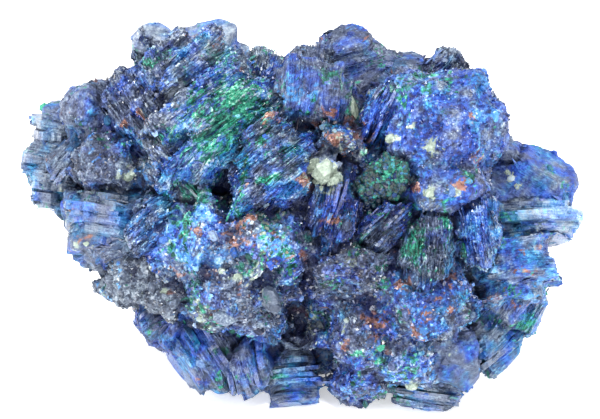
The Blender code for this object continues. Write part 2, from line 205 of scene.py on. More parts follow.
# %% Table of growths
# name, middle (across, up, out), half sizes (along the page edges, through the stack, out), trace, dip and
# fan in degrees, pages (1) or crumb (0), brightness of the blue, weathering, teal film
GROWTHS = (
    ("crown", (-14.2, 15.2, 7.5), (10.2, 9.0, 11.5), 41, -8, 28, 1, "bright", "hazy", "trace"),
    ("crown_flank", (-12.6, 8.8, 11.0), (11.4, 3.8, 8.0), 41, -25, 12, 1, "clear", "dusty", "thin"),
    ("crown_left", (-22.0, 15.8, 6.0), (11.0, 7.4, 11.0), -54, 6, 22, 1, "middle", "dull", "bare"),
    ("crown_tip", (-20.6, 6.4, 9.5), (8.4, 3.0, 7.0), -50, -14, 12, 1, "clear", "dull", "trace"),
    ("crown_back", (-14.6, 22.6, -2.0), (7.6, 4.6, 6.5), 8, 26, 10, 1, "light", "dull", "trace"),
    ("crown_corner", (-22.2, 24.4, -1.5), (4.4, 3.0, 5.0), -14, 20, 10, 1, "light", "grey", "bare"),
    ("cheek_blades", (-34.4, 8.6, 1.0), (5.0, 2.4, 6.0), 48, 0, 12, 1, "middle", "grey", "film"),
    ("left_rim", (-37.2, 8.4, -6.0), (5.4, 7.8, 7.0), -6, 4, 16, 1, "clear", "grey", "film"),
    ("left_plates", (-29.2, -1.4, 3.5), (7.2, 5.6, 8.0), -12, -12, 26, 1, "middle", "dull", "film"),
    ("left_plates_low", (-25.6, -6.4, 2.5), (7.2, 3.0, 8.5), 10, -25, 14, 1, "middle", "grey", "film"),
    ("waist", (-21.4, -1.6, 7.0), (5.6, 4.2, 7.5), 38, -10, 20, 1, "middle", "hazy", "thin"),
    ("foot_outer", (-19.6, -15.0, -1.0), (5.6, 4.8, 8.0), 30, -20, 30, 1, "deep", "hazy", "trace"),
    ("foot_fan", (-13.4, -19.8, -2.0), (7.4, 5.6, 8.0), -56, 0, 40, 1, "middle", "hazy", "thin"),
    ("foot_inner", (-8.4, -22.6, -1.5), (6.0, 4.2, 7.5), -78, 5, 24, 1, "middle", "hazy", "trace"),
    ("foot_middle", (-1.6, -25.0, -3.5), (5.2, 4.2, 6.5), 4, -10, 14, 1, "clear", "dull", "thin"),
    ("page_block", (-4.0, 7.2, 12.5), (7.4, 6.4, 9.0), 37, -6, 18, 1, "middle", "dusty", "thin"),
    ("page_block_toe", (-6.6, 1.6, 13.5), (6.2, 2.6, 7.0), 33, -30, 8, 1, "clear", "dusty", "film"),
    ("column_block", (1.0, 17.4, 6.5), (6.2, 6.6, 9.0), 82, 4, 18, 1, "middle", "dull", "bare"),
    ("slope_left", (-14.5, -3.6, 9.5), (7.4, 6.8, 9.5), 48, -12, 24, 0, "clear", "dusty", "trace"),
    ("slope_middle", (-5.0, -5.0, 11.0), (7.0, 6.3, 9.0), 30, 0, 20, 0, "clear", "hazy", "trace"),
    ("heart_upper", (5.0, 0.6, 13.0), (6.2, 4.2, 8.0), 76, 5, 20, 1, "dark", "dusty", "trace"),
    ("heart_blades", (12.2, -1.6, 12.5), (6.2, 3.0, 7.5), 46, -5, 14, 1, "dark", "dusty", "trace"),
    ("dome_left", (12.2, 14.2, 7.0), (7.0, 3.2, 8.0), 64, -4, 12, 1, "middle", "dusty", "bare"),
    ("blades_upright", (25.4, -1.8, 10.0), (7.0, 3.8, 8.0), -80, 4, 16, 1, "clear", "dusty", "trace"),
    ("blades_inner", (18.4, -5.4, 12.0), (7.4, 4.2, 8.5), 84, 6, 18, 1, "deep", "dull", "thin"),
    ("wing", (33.2, 3.6, -1.5), (8.6, 5.4, 8.0), -30, 18, 10, 1, "clear", "dusty", "bare"),
    ("wing_ledge", (34.8, -0.8, 0.5), (8.0, 3.4, 8.5), 2, -6, 8, 1, "light", "hazy", "thin"),
    ("wing_root", (31.4, -7.6, 3.0), (7.6, 6.2, 9.0), 8, -10, 14, 1, "bright", "dusty", "trace"),
    ("wing_hem", (31.6, -13.2, -1.5), (6.0, 4.8, 8.5), 60, 0, 16, 1, "bright", "hazy", "thin"),
    ("lens_right", (22.0, -21.4, 1.5), (6.2, 4.6, 8.0), -18, -10, 18, 0, "middle", "dull", "thin"),
    ("foot_right_outer", (27.4, -19.4, -2.0), (5.4, 4.8, 7.5), 40, 4, 20, 1, "clear", "hazy", "film"),
    ("foot_right_front", (18.6, -26.6, -4.0), (6.6, 3.0, 6.5), -10, 0, 10, 1, "clear", "dull", "film"),
    ("ridge", (7.8, 22.8, -6.0), (6.0, 4.8, 7.0), 10, 24, 10, 1, "middle", "grey", "bare"),
    ("ridge_columns", (2.2, 22.0, -6.0), (4.6, 3.8, 6.0), 84, 0, 12, 1, "clear", "grey", "bare"),
    ("ridge_right", (15.4, 19.4, -5.0), (5.4, 4.0, 6.5), -8, 20, 10, 1, "middle", "dull", "thin"),
    ("ridge_left", (-5.6, 21.6, -5.0), (4.2, 3.8, 5.5), 76, 0, 12, 1, "light", "dull", "trace"),
    ("peak", (22.0, 20.2, -4.5), (4.8, 3.6, 5.0), 48, 10, 10, 1, "deep", "ashen", "trace"),
    ("cheek_upper", (-30.4, 15.2, 2.5), (6.2, 5.2, 7.5), 62, 0, 0, 0, "middle", "grey", "trace"),
    ("cheek_lower", (-28.6, 8.0, 6.0), (6.4, 5.4, 8.0), 50, 0, 0, 0, "deep", "grey", "thin"),
    ("ash_outer", (-25.0, -10.6, 1.5), (5.8, 4.2, 7.5), 10, 0, 0, 0, "clear", "ashen", "thin"),
    ("ash_inner", (-19.2, -12.2, 5.0), (5.4, 4.4, 7.0), 20, 0, 0, 0, "deep", "ashen", "bare"),
    ("slope_low", (-10.2, -12.0, 8.0), (9.0, 5.8, 9.0), 12, 0, 0, 0, "deep", "dull", "trace"),
    ("dome", (19.8, 11.8, 8.0), (10.8, 10.2, 12.0), 70, 0, 0, 0, "middle", "dusty", "bare"),
    ("dome_chin", (20.6, 3.4, 12.0), (7.0, 5.2, 7.5), 20, 0, 0, 0, "middle", "dusty", "bare"),
    ("dome_right", (25.6, 12.4, 1.0), (6.0, 7.6, 8.5), 70, 0, 0, 0, "clear", "hazy", "bare"),
    ("heart_lower", (7.2, -7.6, 11.5), (7.0, 4.6, 8.5), 20, 0, 0, 0, "dark", "dull", "trace"),
    ("apron", (17.4, -13.2, 8.0), (9.0, 6.8, 9.5), 20, 0, 0, 0, "deep", "dusty", "thin"),
    ("apron_left", (8.8, -16.6, 5.0), (5.8, 6.6, 9.0), 60, 0, 0, 0, "deep", "hazy", "trace"),
    ("foot_right_inner", (9.0, -24.6, -2.0), (5.4, 4.8, 7.5), 60, 0, 0, 0, "deep", "hazy", "trace"),
    ("foot_right", (16.0, -20.6, 3.0), (6.2, 5.6, 8.5), 10, 0, 0, 0, "clear", "hazy", "trace"),
    ("green_nodule", (11.0, 3.8, 15.0), (3.6, 2.9, 5.0), 0, 0, 0, 0, "darkest", "dusty", "film"),
    ("green_nodule_top", (13.6, 6.4, 14.5), (3.4, 2.6, 5.0), 0, 0, 0, 0, "dark", "dusty", "film"),
    ("green_nodule_low", (9.0, 2.4, 14.8), (2.8, 2.5, 5.0), 0, 0, 0, 0, "darkest", "dusty", "film"),
    ("pale_lump", (3.5, 6.2, 15.6), (2.9, 2.2, 3.6), 0, 0, 0, 0, "light", "dull", "bare"),
    ("gap_floor", (4.6, 10.8, 10.0), (5.0, 2.8, 6.0), 0, 0, 0, 0, "middle", "hazy", "film"),
    ("grey_crystal", (-4.6, -12.8, 14.2), (1.7, 2.2, 3.2), 0, 0, 0, 0, "clear", "ashen", "trace"),
    ("hollow_floor", (9.6, 10.2, 8.5), (3.4, 3.6, 5.0), 0, 0, 0, 0, "light", "dull", "thin"),
)
print(len(GROWTHS), "growths on the show face")

# %% [markdown]
# The rear of the specimen carries thirteen books on a spiral, laid there by the same rule as in the solid,
# so that they don't have to be listed. Under them are the lumps that the specimen stands on, which have no
# pages.

# %% Growths as arrays
HEART_MIDDLE = (0.5, -0.5, -3.0)
HEART_HALF = np.array([34.0, 21.0, 19.0])
REAR_BOOKS = 13
REAR_FIRST, REAR_LAST, REAR_SINK = 0.24, 0.98, 0.90
REAR_HALF, REAR_FAN = (7.4, 5.6, 6.2), 18
# from one rear book to the next, the pages turn by so much (radians), and all lean outwards a little
REAR_TURN, REAR_OUTWARD = 2.3, 0.3
GOLDEN_ANGLE = math.pi * (3.0 - math.sqrt(5.0))
FOOTINGS = ((-19.0, 6.2, 5.0), (-7.0, 11.7, 4.5), (8.0, 11.2, 4.5), (20.5, 5.7, 5.0), (1.0, -0.8, 3.5))
FOOTING_HALF = (9.0, 7.8, 7.0)
FOOTING_LOOKS = ("clear", "hazy", "trace")
# the rear books take turns with these, so that neighbours differ
REAR_LOOKS = (
    ("deep", "clear", "light"),
    ("clean", "dusty", "hazy", "dull"),
    ("bare", "trace", "trace", "thin", "thin"),
)

names, middles, axes, halves, fans, paged, blue_light, ash_share, teal_share = [[] for _ in range(9)]


def add_growth(name, middle, growth_axes, half, fan, pages, brightness, weathering, film):
    """Put one growth in the lists."""
    names.append(name)
    middles.append(middle)
    axes.append(growth_axes)
    halves.append(half)
    fans.append(math.radians(fan))
    paged.append(pages)
    blue_light.append(BRIGHTNESS[brightness])
    ash_share.append(WEATHERING[weathering])
    teal_share.append(TEAL_FILM[film])


for name, middle, half, trace, dip, fan, pages, *words in GROWTHS:
    turn, tip = math.radians(trace), math.radians(dip)
    edge = np.array([math.cos(turn), math.sin(turn), 0.0]) @ FACE_AXES
    flat = np.array([-math.sin(turn), math.cos(turn), 0.0]) @ FACE_AXES
    stack = flat * math.cos(tip) + OUT_OF_FACE * math.sin(tip)
    across_pages = [edge, stack, np.cross(edge, stack)]
    add_growth(name, face_point(*middle), across_pages, half, fan, pages, *words)
print(len(names), "growths from the table")

# %% Rear books and footings
for index in range(REAR_BOOKS):
    inward = REAR_FIRST + (index + 0.5) / REAR_BOOKS * (REAR_LAST - REAR_FIRST)
    ring, angle = math.sqrt(1.0 - inward**2), index * GOLDEN_ANGLE
    outward = np.array([ring * math.cos(angle), ring * math.sin(angle), -inward]) * HEART_HALF @ FACE_AXES
    depth = unit(outward)
    turn = REAR_TURN * index
    way = np.array([math.cos(turn), math.sin(turn), REAR_OUTWARD]) @ FACE_AXES
    edge = unit(np.cross(depth, way))
    middle = face_point(*HEART_MIDDLE) + outward * REAR_SINK
    words = [steps[index % len(steps)] for steps in REAR_LOOKS]
    across_pages = [edge, np.cross(depth, edge), depth]
    add_growth(f"rear_{index:02d}", middle, across_pages, REAR_HALF, REAR_FAN, 1, *words)
for index, middle in enumerate(FOOTINGS):
    upright = list(np.eye(3))
    add_growth(f"footing_{index}", np.array(middle), upright, FOOTING_HALF, 0, 0, *FOOTING_LOOKS)

middles, axes, halves = np.array(middles), np.array(axes), np.array(halves)
fans, paged = np.array(fans), np.array(paged)
blue_light, ash_share, teal_share = np.array(blue_light), np.array(ash_share), np.array(teal_share)
print(len(names), "growths in all,", int(paged.sum()), "of them with pages")

# %% [markdown]
# Books that grew from one point make a rosette, and the seams inside it are shallow. Where two rosettes
# meet, the gap is a deep cleft. So it matters which growths belong together. Seams also wander: a point is
# pushed about by noise before it asks which growth is nearest, because a straight seam looks cut.

# %% Rosettes
# a growth that isn't listed is a rosette of its own
ROSETTES = (
    ("crown", "crown_flank", "crown_left", "crown_tip", "crown_back", "crown_corner"),
    ("cheek_upper", "cheek_lower", "cheek_blades"),
    ("left_plates", "left_plates_low"),
    ("slope_left", "slope_middle", "waist", "slope_low"),
    ("page_block", "page_block_toe"),
    ("dome", "dome_left", "dome_right", "dome_chin"),
    ("wing", "wing_ledge"),
    ("wing_root", "wing_hem", "blades_upright"),
    ("heart_blades", "blades_inner"),
    ("ash_outer", "ash_inner"),
    (
        "apron", "apron_left", "foot_right", "foot_right_inner", "foot_right_front", "lens_right",
        "heart_lower",
    ),
    ("ridge", "ridge_columns", "ridge_left", "ridge_right", "peak"),
    ("green_nodule", "green_nodule_top", "green_nodule_low", "pale_lump"),
)
rosette_of = np.arange(len(names))
for members in ROSETTES:
    rosette_of[[names.index(name) for name in members]] = names.index(members[0])
print(len(np.unique(rosette_of)), "rosettes")

# %% Which growth is nearest
# how far seams wander, and over waves of what size, in millimetres
WANDER = ((0.8, 3.2), (0.45, 1.3))
STACK_END = 1.1


def distances(points):
    """How far each point is from each growth's middle, where 1 is the growth's own surface."""
    away = np.empty((len(names), len(points)))
    wandered = points.copy()
    for reach, size in WANDER:
        wandered += reach * np.stack([cloud(points, size, 60 + axis) for axis in range(3)], axis=1)
    for number in range(len(names)):
        turned = (wandered - middles[number]) @ axes[number].T
        away[number] = np.linalg.norm(turned / halves[number], axis=1)
    return away


def stack_share(points, owner):
    """Each point's place between the two ends of its growth's stack, from about -1 to 1."""
    share = ((points - middles[owner]) * axes[owner, 1]).sum(1) / halves[owner, 1]
    return np.clip(share, -STACK_END, STACK_END)


def page_normals(owner, share):
    """The way that the stack runs at each point: the growth's own, turned by its fan."""
    lean = fans[owner] * 0.5 * share
    return axes[owner, 1] * np.cos(lean)[:, None] + axes[owner, 2] * np.sin(lean)[:, None]


def stack_place(points, owner):
    """How far each point is along its book's stack, and along its pages, in millimetres."""
    away = points - middles[owner]
    stack = page_normals(owner, stack_share(points, owner))
    return (away * stack).sum(1), (away * axes[owner, 0]).sum(1)


print("nearest to the first growth's middle:", names[distances(middles[:1]).argmin()])

# %% Seams and clefts
SEAM_WIDTH, CLEFT_WIDTH = 0.10, 0.17


def seams_and_clefts(points):
    """For each point: 1 at a seam between two growths, and 1 in the cleft between two rosettes."""
    away = distances(points)
    near = np.partition(away, 1, axis=0)
    seam = np.clip(1 - (near[1] - near[0]) / SEAM_WIDTH, 0, 1)
    away = np.array([away[rosette_of == rosette].min(0) for rosette in np.unique(rosette_of)])
    near = np.partition(away, 1, axis=0)
    return seam, np.clip(1 - (near[1] - near[0]) / CLEFT_WIDTH, 0, 1)


print("seam and cleft inside the first growth:", *seams_and_clefts(middles[:1]))

# %% [markdown]
# ## The rock under the crust
# The solid's plates are thick and sharp. A voxel remesh puts an even skin of half-millimetre quads over
# them, and smoothing rounds what is too crisp. Then every point moves along its normal: crumbly lumps get
# rounded grains, books get broken ledges that follow their pages, and all of it gets a slow unevenness.

# %% Meshes in and out
def evaluated_mesh(obj):
    """The object's mesh with its modifiers applied, as a new mesh."""
    graph = bpy.context.evaluated_depsgraph_get()
    return bpy.data.meshes.new_from_object(obj.evaluated_get(graph))


def mesh_points(mesh):
    """The mesh's vertices in millimetres, and their normals."""
    places = np.empty(len(mesh.vertices) * 3)
    normals = np.empty(len(mesh.vertices) * 3)
    mesh.vertices.foreach_get("co", places)
    mesh.vertices.foreach_get("normal", normals)
    return places.reshape(-1, 3) / MM, normals.reshape(-1, 3)


def in_box(points):
    """Points held inside the solid's own box, and so never under the surface that it stands on."""
    return np.clip(points, box_low, box_high)


print("points stay between", box_low.round(1), "and", box_high.round(1), "mm")

# %% Even skin
VOXEL_MM = 0.55
SKIN_SMOOTHING, SMOOTHING_FACTOR = 5, 0.5

rock = bpy.data.objects.new("azurite_rock", solid.data.copy())
bpy.context.scene.collection.objects.link(rock)
remesh = rock.modifiers.new("even skin", "REMESH")
remesh.mode = "VOXEL"
remesh.voxel_size = VOXEL_MM * MM
smooth = rock.modifiers.new("rounding", "SMOOTH")
smooth.factor = SMOOTHING_FACTOR
smooth.iterations = SKIN_SMOOTHING
skin = evaluated_mesh(rock)
rock.modifiers.clear()
rock.data = skin
skin_points, skin_normals = mesh_points(skin)
skin_owner = distances(skin_points).argmin(0)
print("rock:", len(skin.polygons), "quads")

# %% [markdown]
# Not every growth is equally rough. Some have smooth page faces with hardly any crust, so a table gives
# them a smaller share of everything that follows: lumps, ledges, blades, druse and contrast of colour.

# %% Share of crust
SMOOTHER = {
    "wing": 0.3, "wing_ledge": 0.3, "wing_root": 0.5, "wing_hem": 0.5, "left_plates": 0.3,
    "left_plates_low": 0.4, "left_rim": 0.35, "lens_right": 0.15, "foot_outer": 0.5, "foot_fan": 0.45,
    "foot_inner": 0.5, "foot_middle": 0.4, "foot_right_outer": 0.35, "foot_right_front": 0.5,
    "ridge": 0.5, "ridge_right": 0.5, "ridge_columns": 0.6, "column_block": 0.5, "cheek_upper": 0.5,
    "cheek_lower": 0.75, "cheek_blades": 0.5, "crown_corner": 0.25, "crown_back": 0.25, "dome": 0.75,
    "dome_chin": 0.65, "dome_right": 0.35, "pale_lump": 0.3, "grey_crystal": 0.3,
}
crust = np.array([SMOOTHER.get(name, 1.0) for name in names])
print(len(SMOOTHER), "growths have less than the full crust")

# %% Broken ledges
# thickness, length and height of the ledges, in millimetres
LEDGES = ((1.7, 4.5, 0.8), (0.95, 2.6, 0.45))
LEDGE_WAVE, LEDGE_WAVE_SIZE = 0.45, 2.6
LEDGE_SHIFT = 7.0


def ledge_heights(points, owner):
    """Broken ledges: pages of one ledge share a height, and it changes after some millimetres along them."""
    up_stack, along = stack_place(points, owner)
    total = np.zeros(len(points))
    for seed, (thick, long, height) in enumerate(LEDGES):
        ledge = np.floor(up_stack / thick + LEDGE_WAVE * cloud(points, LEDGE_WAVE_SIZE, 30 + seed))
        shift = LEDGE_SHIFT * hashed(np.stack([ledge, owner, owner * 0], 1).astype(np.int64), 40)
        step = np.floor(along / long + shift)
        total += height * (hashed(np.stack([ledge, step, owner], 1).astype(np.int64), 50 + seed) - 0.5)
    return total


ledges = ledge_heights(skin_points, skin_owner) * paged[skin_owner]
print("ledges:", ledges.min().round(2), "to", ledges.max().round(2), "mm")

# %% Lumps and grains
UNEVEN_SIZE, UNEVEN_HEIGHT = 4.0, 0.45
# size of a grain, how far it stands up
GRAIN_SIZES = ((4.6, 1.5), (2.4, 1.1), (1.2, 0.6))
GRAIN_BASE = 0.6
GRAINS_ON_BOOKS = 0.25
CRUMBLE, CRUMBLE_SIZE, CRUMBLE_BASE = 2.4, 1.9, 0.55
# crumbling rises so steeply with weathering, less a start, up to a limit
CRUMBLE_RISE, CRUMBLE_START, CRUMBLE_MOST = 2, 1.3, 0.5

move = UNEVEN_HEIGHT * cloud(skin_points, UNEVEN_SIZE, 2)
grain_share = (1.0 - (1.0 - GRAINS_ON_BOOKS) * paged) * crust
for size, height in GRAIN_SIZES:
    move += height * (grains(skin_points, size, 5) - GRAIN_BASE) * grain_share[skin_owner]
move += ledges * crust[skin_owner]
# weathered growths crumble more
crumbly = CRUMBLE * np.clip(ash_share * CRUMBLE_RISE - CRUMBLE_START, 0, CRUMBLE_MOST) * crust
move += crumbly[skin_owner] * (grains(skin_points, CRUMBLE_SIZE, 9) - CRUMBLE_BASE)
print("relief:", move.min().round(2), "to", move.max().round(2), "mm")

# %% Clefts between the rosettes
SEAM_DEPTH, CLEFT_DEPTH = 0.5, 1.9
CLEFT_SHARPNESS = 1.5
# clefts are deeper and shallower in turn: the mean, the swing, the size of one turn and the least
CLEFT_MEAN, CLEFT_SWING, CLEFT_TURN, CLEFT_LEAST = 0.75, 0.6, 3.5, 0.2
# they fade out near the surface that the specimen stands on
CLEFTS_FROM, CLEFTS_FADE = 4.0, 0.5
RESTING_HEIGHT = 0.3

skin_seam, skin_cleft = seams_and_clefts(skin_points)
skin_cleft *= np.clip(CLEFT_MEAN + CLEFT_SWING * cloud(skin_points, CLEFT_TURN, 3), CLEFT_LEAST, 1)
skin_cleft *= np.clip(skin_points[:, 2] / CLEFTS_FROM - CLEFTS_FADE, 0, 1)
move -= SEAM_DEPTH * skin_seam + CLEFT_DEPTH * skin_cleft**CLEFT_SHARPNESS
move *= skin_points[:, 2] > RESTING_HEIGHT
skin_points = in_box(skin_points + skin_normals * move[:, None])
skin.vertices.foreach_set("co", (skin_points * MM).ravel())
skin.update()
print("deepest cleft:", move.min().round(2), "mm")

# %% [markdown]
# ## Plates that show their faces
# A few books are coarse: their pages are over a millimetre thick and show their smooth faces at the rim.
# Those are made one by one, as closed plates with an uneven outline. They could be cut into the skin, but
# its quads are too big for a crisp edge. Points are close together where a plate leaves the rock and far
# apart inside it.

# %% Outline of one plate
RIM_STEP, HIDDEN_STEP = 0.65, 3.0
RIM_SQUARENESS = 2.6
# the part of the outline that shows, in half turns
OPEN_FROM, OPEN_TO = -0.15, 1.15
# waves round the outline, and how deep they are
RIM_WAVES = ((3, 0.05), (7, 0.03), (17, 0.015))
CHIPS, CHIP_DEPTH = (6, 13), (-0.09, 0.03)
RIM_ROUGHNESS = 0.014
# each wave starts anywhere on the round, which is just over two pi long
RIM_STARTS = (0, 6.3)


def plate_rim(along_half, deep_half, draw):
    """The outline of one plate: a rounded square with a broken edge, with most points on its outer half."""
    size = (along_half + deep_half) / 2
    open_turn = OPEN_TO - OPEN_FROM
    open_count = max(8, int(open_turn * math.pi * size / RIM_STEP))
    hidden_count = max(3, int((2 - open_turn) * math.pi * size / HIDDEN_STEP)) + 2
    open_arc = np.linspace(OPEN_FROM * math.pi, OPEN_TO * math.pi, open_count)
    hidden_arc = np.linspace(OPEN_TO * math.pi, (OPEN_FROM + 2) * math.pi, hidden_count)
    angle = np.concatenate([open_arc, hidden_arc[1:-1]])
    sides = len(angle)
    power = np.abs(np.cos(angle)) ** RIM_SQUARENESS + np.abs(np.sin(angle)) ** RIM_SQUARENESS
    broken = np.ones(sides)
    for waves, depth in RIM_WAVES:
        broken += depth * np.sin(waves * angle + draw.uniform(*RIM_STARTS))
    chips = draw.uniform(*CHIP_DEPTH, draw.integers(*CHIPS))
    broken += chips[(np.arange(sides) * len(chips)) // sides] + draw.normal(0, RIM_ROUGHNESS, sides)
    broken *= power ** (-1 / RIM_SQUARENESS)
    return np.stack([broken * np.cos(angle) * along_half, broken * np.sin(angle) * deep_half], 1)


print("points on a rim of 7 by 8 mm:", len(plate_rim(7, 8, np.random.default_rng(2))))


# %% Faces of one plate
def plate_faces(sides, first):
    """Triangles of a closed plate: two rims of points, then the middles of its two faces."""
    here, after = np.arange(sides), (np.arange(sides) + 1) % sides
    low, high = first + 2 * sides, first + 2 * sides + 1
    here, after = here + first, after + first
    return np.concatenate([
        np.stack([here, after, after + sides], 1),
        np.stack([here, after + sides, here + sides], 1),
        np.stack([after, here, np.full(sides, low)], 1),
        np.stack([here + sides, after + sides, np.full(sides, high)], 1),
    ])


print("triangles on a plate with 30 sides:", len(plate_faces(30, 0)))

# %% [markdown]
# The books differ. Some have thin plates that stop at different heights, so that their rim is stepped. In a
# few the pages lie close and reach equally far, and those read as smooth sheets with fine lines between
# them.

# %% Which books have plates
# thickness of one step in the stack, in millimetres
COARSE_BOOKS = {
    "left_plates": 1.1, "left_plates_low": 1.1, "left_rim": 1.3, "foot_outer": 0.9, "foot_fan": 0.9,
    "foot_inner": 0.9, "foot_middle": 0.7,
    "heart_upper": 0.6, "heart_blades": 0.55, "dome_left": 0.6, "wing_ledge": 1.2, "foot_right_outer": 0.9,
    "foot_right_front": 1.0, "cheek_blades": 0.8, "ridge_columns": 0.8,
}
REAR_PLATE = 1.0
SHEETS = ("wing_ledge", "left_plates", "left_plates_low", "left_rim")
# how much of its step a plate fills, and how far it reaches out
PLATE_FILL, PLATE_REACH = (0.6, 1.05), (0.92, 1.0)
SHEET_FILL, SHEET_REACH = (0.95, 1.2), (0.97, 1.0)
print(len(COARSE_BOOKS), "coarse books in front,", REAR_BOOKS, "behind")

# %% One plate in its book
BOOK_ROUNDING = 0.88
# the share of the book's width that one plate takes
PLATE_SHARE = (0.55, 1.0)
# a narrow plate is shallower by this share at most, and stands further out so that its rim still shows
NARROW_LOSS = 0.25
PLATE_LEAN, PLATE_ROLL = 0.05, 0.04
TAPER = 0.04


def plate(number, pitch, place, draw):
    """One plate at a place in the book's stack: its low rim, its high rim and the middles of its faces."""
    edge, stack, depth = axes[number]
    along_half, stack_half, deep_half = halves[number]
    fill, reaches = PLATE_FILL, PLATE_REACH
    if names[number] in SHEETS:
        fill, reaches = SHEET_FILL, SHEET_REACH
    share = place / stack_half
    size = math.sqrt(1 - (BOOK_ROUNDING * share) ** 2) * draw.uniform(*reaches)
    reach = draw.uniform(*PLATE_SHARE)
    rim_depth = deep_half * size * (1 - NARROW_LOSS + NARROW_LOSS * reach)
    rim = plate_rim(along_half * size * reach, rim_depth, draw)
    lean = fans[number] * 0.5 * share + draw.normal(0, PLATE_LEAN)
    roll = draw.normal(0, PLATE_ROLL)
    turned_stack = unit(stack * math.cos(lean) + depth * math.sin(lean) + edge * roll)
    turned_depth = unit(np.cross(edge, turned_stack))
    turned_edge = np.cross(turned_stack, turned_depth)
    aside = draw.uniform(-1, 1) * (1 - reach) * along_half * size
    forward = deep_half * size * (NARROW_LOSS - NARROW_LOSS * reach) * (1 - (aside / along_half) ** 2)
    middle = middles[number] + stack * place + edge * aside + depth * forward
    flat_rim = rim[:, :1] * turned_edge + rim[:, 1:] * turned_depth
    half_thick = turned_stack * (pitch * draw.uniform(*fill) / 2)
    taper = draw.uniform(-TAPER, TAPER)
    low_rim = middle + flat_rim * (1 + taper) - half_thick
    high_rim = middle + flat_rim * (1 - taper) + half_thick
    return np.concatenate([low_rim, high_rim, (middle - half_thick)[None], (middle + half_thick)[None]])


print("points in a plate:", len(plate(names.index("left_rim"), 1.3, 0.0, np.random.default_rng(2))))

# %% Stack the plates
PLATE_TINTS = (0.35, 0.65)
# where the first plate stands, and the gap to each next one, in plates
FIRST_PLATE, PLATE_STEPS = (0.2, 0.8), (0.7, 1.5)

draw = np.random.default_rng(21)
plate_points, plate_triangles, plate_owner, plate_tint = [], [], [], []
count = 0
for number in np.flatnonzero(paged):
    pitch = REAR_PLATE if names[number].startswith("rear") else COARSE_BOOKS.get(names[number])
    if pitch is None:
        continue
    place = -halves[number, 1] + pitch * draw.uniform(*FIRST_PLATE)
    while place < halves[number, 1]:
        points = plate(number, pitch, place, draw)
        plate_points.append(points)
        plate_triangles.append(plate_faces(len(points) // 2 - 1, count))
        count += len(points)
        plate_owner.append(np.full(len(points), number))
        plate_tint.append(np.full(len(points), draw.uniform(*PLATE_TINTS)))
        place += pitch * draw.uniform(*PLATE_STEPS)
plates_made = len(plate_points)
plate_points, plate_triangles = in_box(np.concatenate(plate_points)), np.concatenate(plate_triangles)
plate_owner, plate_tint = np.concatenate(plate_owner), np.concatenate(plate_tint)
print(plates_made, "plates with", len(plate_triangles), "triangles")

# %% [markdown]
# ## Surface to grow crystals on
# The smaller crystals stand on the skin and on the plates. A crystal is only set where the surface is open:
# a ray leaves along the normal, and where it soon hits something the spot is inside a gap, where nobody
# would see it.

# %% Open places
STANDING_ROOM = 0.35
RAY_START = 0.08
# how much less grows at the bottom of a cleft
CLEFT_LOSS = 0.9


class Ground:
    """Triangles that crystals can stand on, with the growth that each one belongs to."""

    def __init__(self, points, triangles, owner, cleft):
        self.points, self.triangles = points, triangles
        self.owner = owner[triangles[:, 0]]
        self.clear_of_clefts = 1.0 - CLEFT_LOSS * cleft[triangles].mean(1)
        corners = points[triangles]
        crossed = np.cross(corners[:, 1] - corners[:, 0], corners[:, 2] - corners[:, 0])
        self.areas = np.linalg.norm(crossed, axis=1) / 2
        self.normals = unit(crossed)
        self.tree = BVHTree.FromPolygons(points.tolist(), triangles.tolist())
        print("ground:", len(triangles), "triangles,", round(self.areas.sum() / 100), "square cm")

    def flatness(self):
        """1 where a triangle lies in the plane of its pages, 0 where it cuts across them."""
        return np.abs((self.normals * axes[self.owner, 1]).sum(1))

    def open_places(self, tried, most, weights, room, draw):
        """Random places that have so much room above them: points, normals and owners."""
        picked = draw.choice(len(self.triangles), tried, p=weights / weights.sum())
        first, second = draw.random(tried), draw.random(tried)
        over = first + second > 1
        first[over], second[over] = 1 - first[over], 1 - second[over]
        corner = self.points[self.triangles[picked]]
        points = corner[:, 0] + first[:, None] * (corner[:, 1] - corner[:, 0])
        points += second[:, None] * (corner[:, 2] - corner[:, 0])
        normals = self.normals[picked]
        clear = points[:, 2] > STANDING_ROOM
        for index in np.flatnonzero(clear):
            start = points[index] + normals[index] * RAY_START
            clear[index] = self.tree.ray_cast(Vector(start), Vector(normals[index]), room)[0] is None
        kept = np.flatnonzero(clear)[:most]
        return points[kept], normals[kept], self.owner[picked][kept]


skin.calc_loop_triangles()
skin_triangles = np.empty(len(skin.loop_triangles) * 3, dtype=np.int64)
skin.loop_triangles.foreach_get("vertices", skin_triangles)
skin_triangles = skin_triangles.reshape(-1, 3)
ground = Ground(
    np.concatenate([skin_points, plate_points]),
    np.concatenate([skin_triangles, plate_triangles + len(skin_points)]),
    np.concatenate([skin_owner, plate_owner]),
    np.concatenate([skin_cleft, np.zeros(len(plate_points))]),
)

# %% [markdown]
# ## Blades
# What reads as lines on a book is the broken edges of its pages, a few millimetres long and half a
# millimetre apart. Each is a low blade: an uneven crest of four points over a narrow foot. Blades are moved
# onto shared planes, so that they line up into pages, and the points of the crest are laid down on the
# ground first.

# %% Where the blades stand
BLADES_TRIED, MOST_BLADES = 26000, 14000
BLADE_ROOM = 1.0
# a triangle that lies flatter than this in its pages gets hardly any blades
FLAT_FROM, FLAT_FADE, FLAT_LEAST = 0.9, 0.3, 0.02
PAGE_PITCH = 0.48

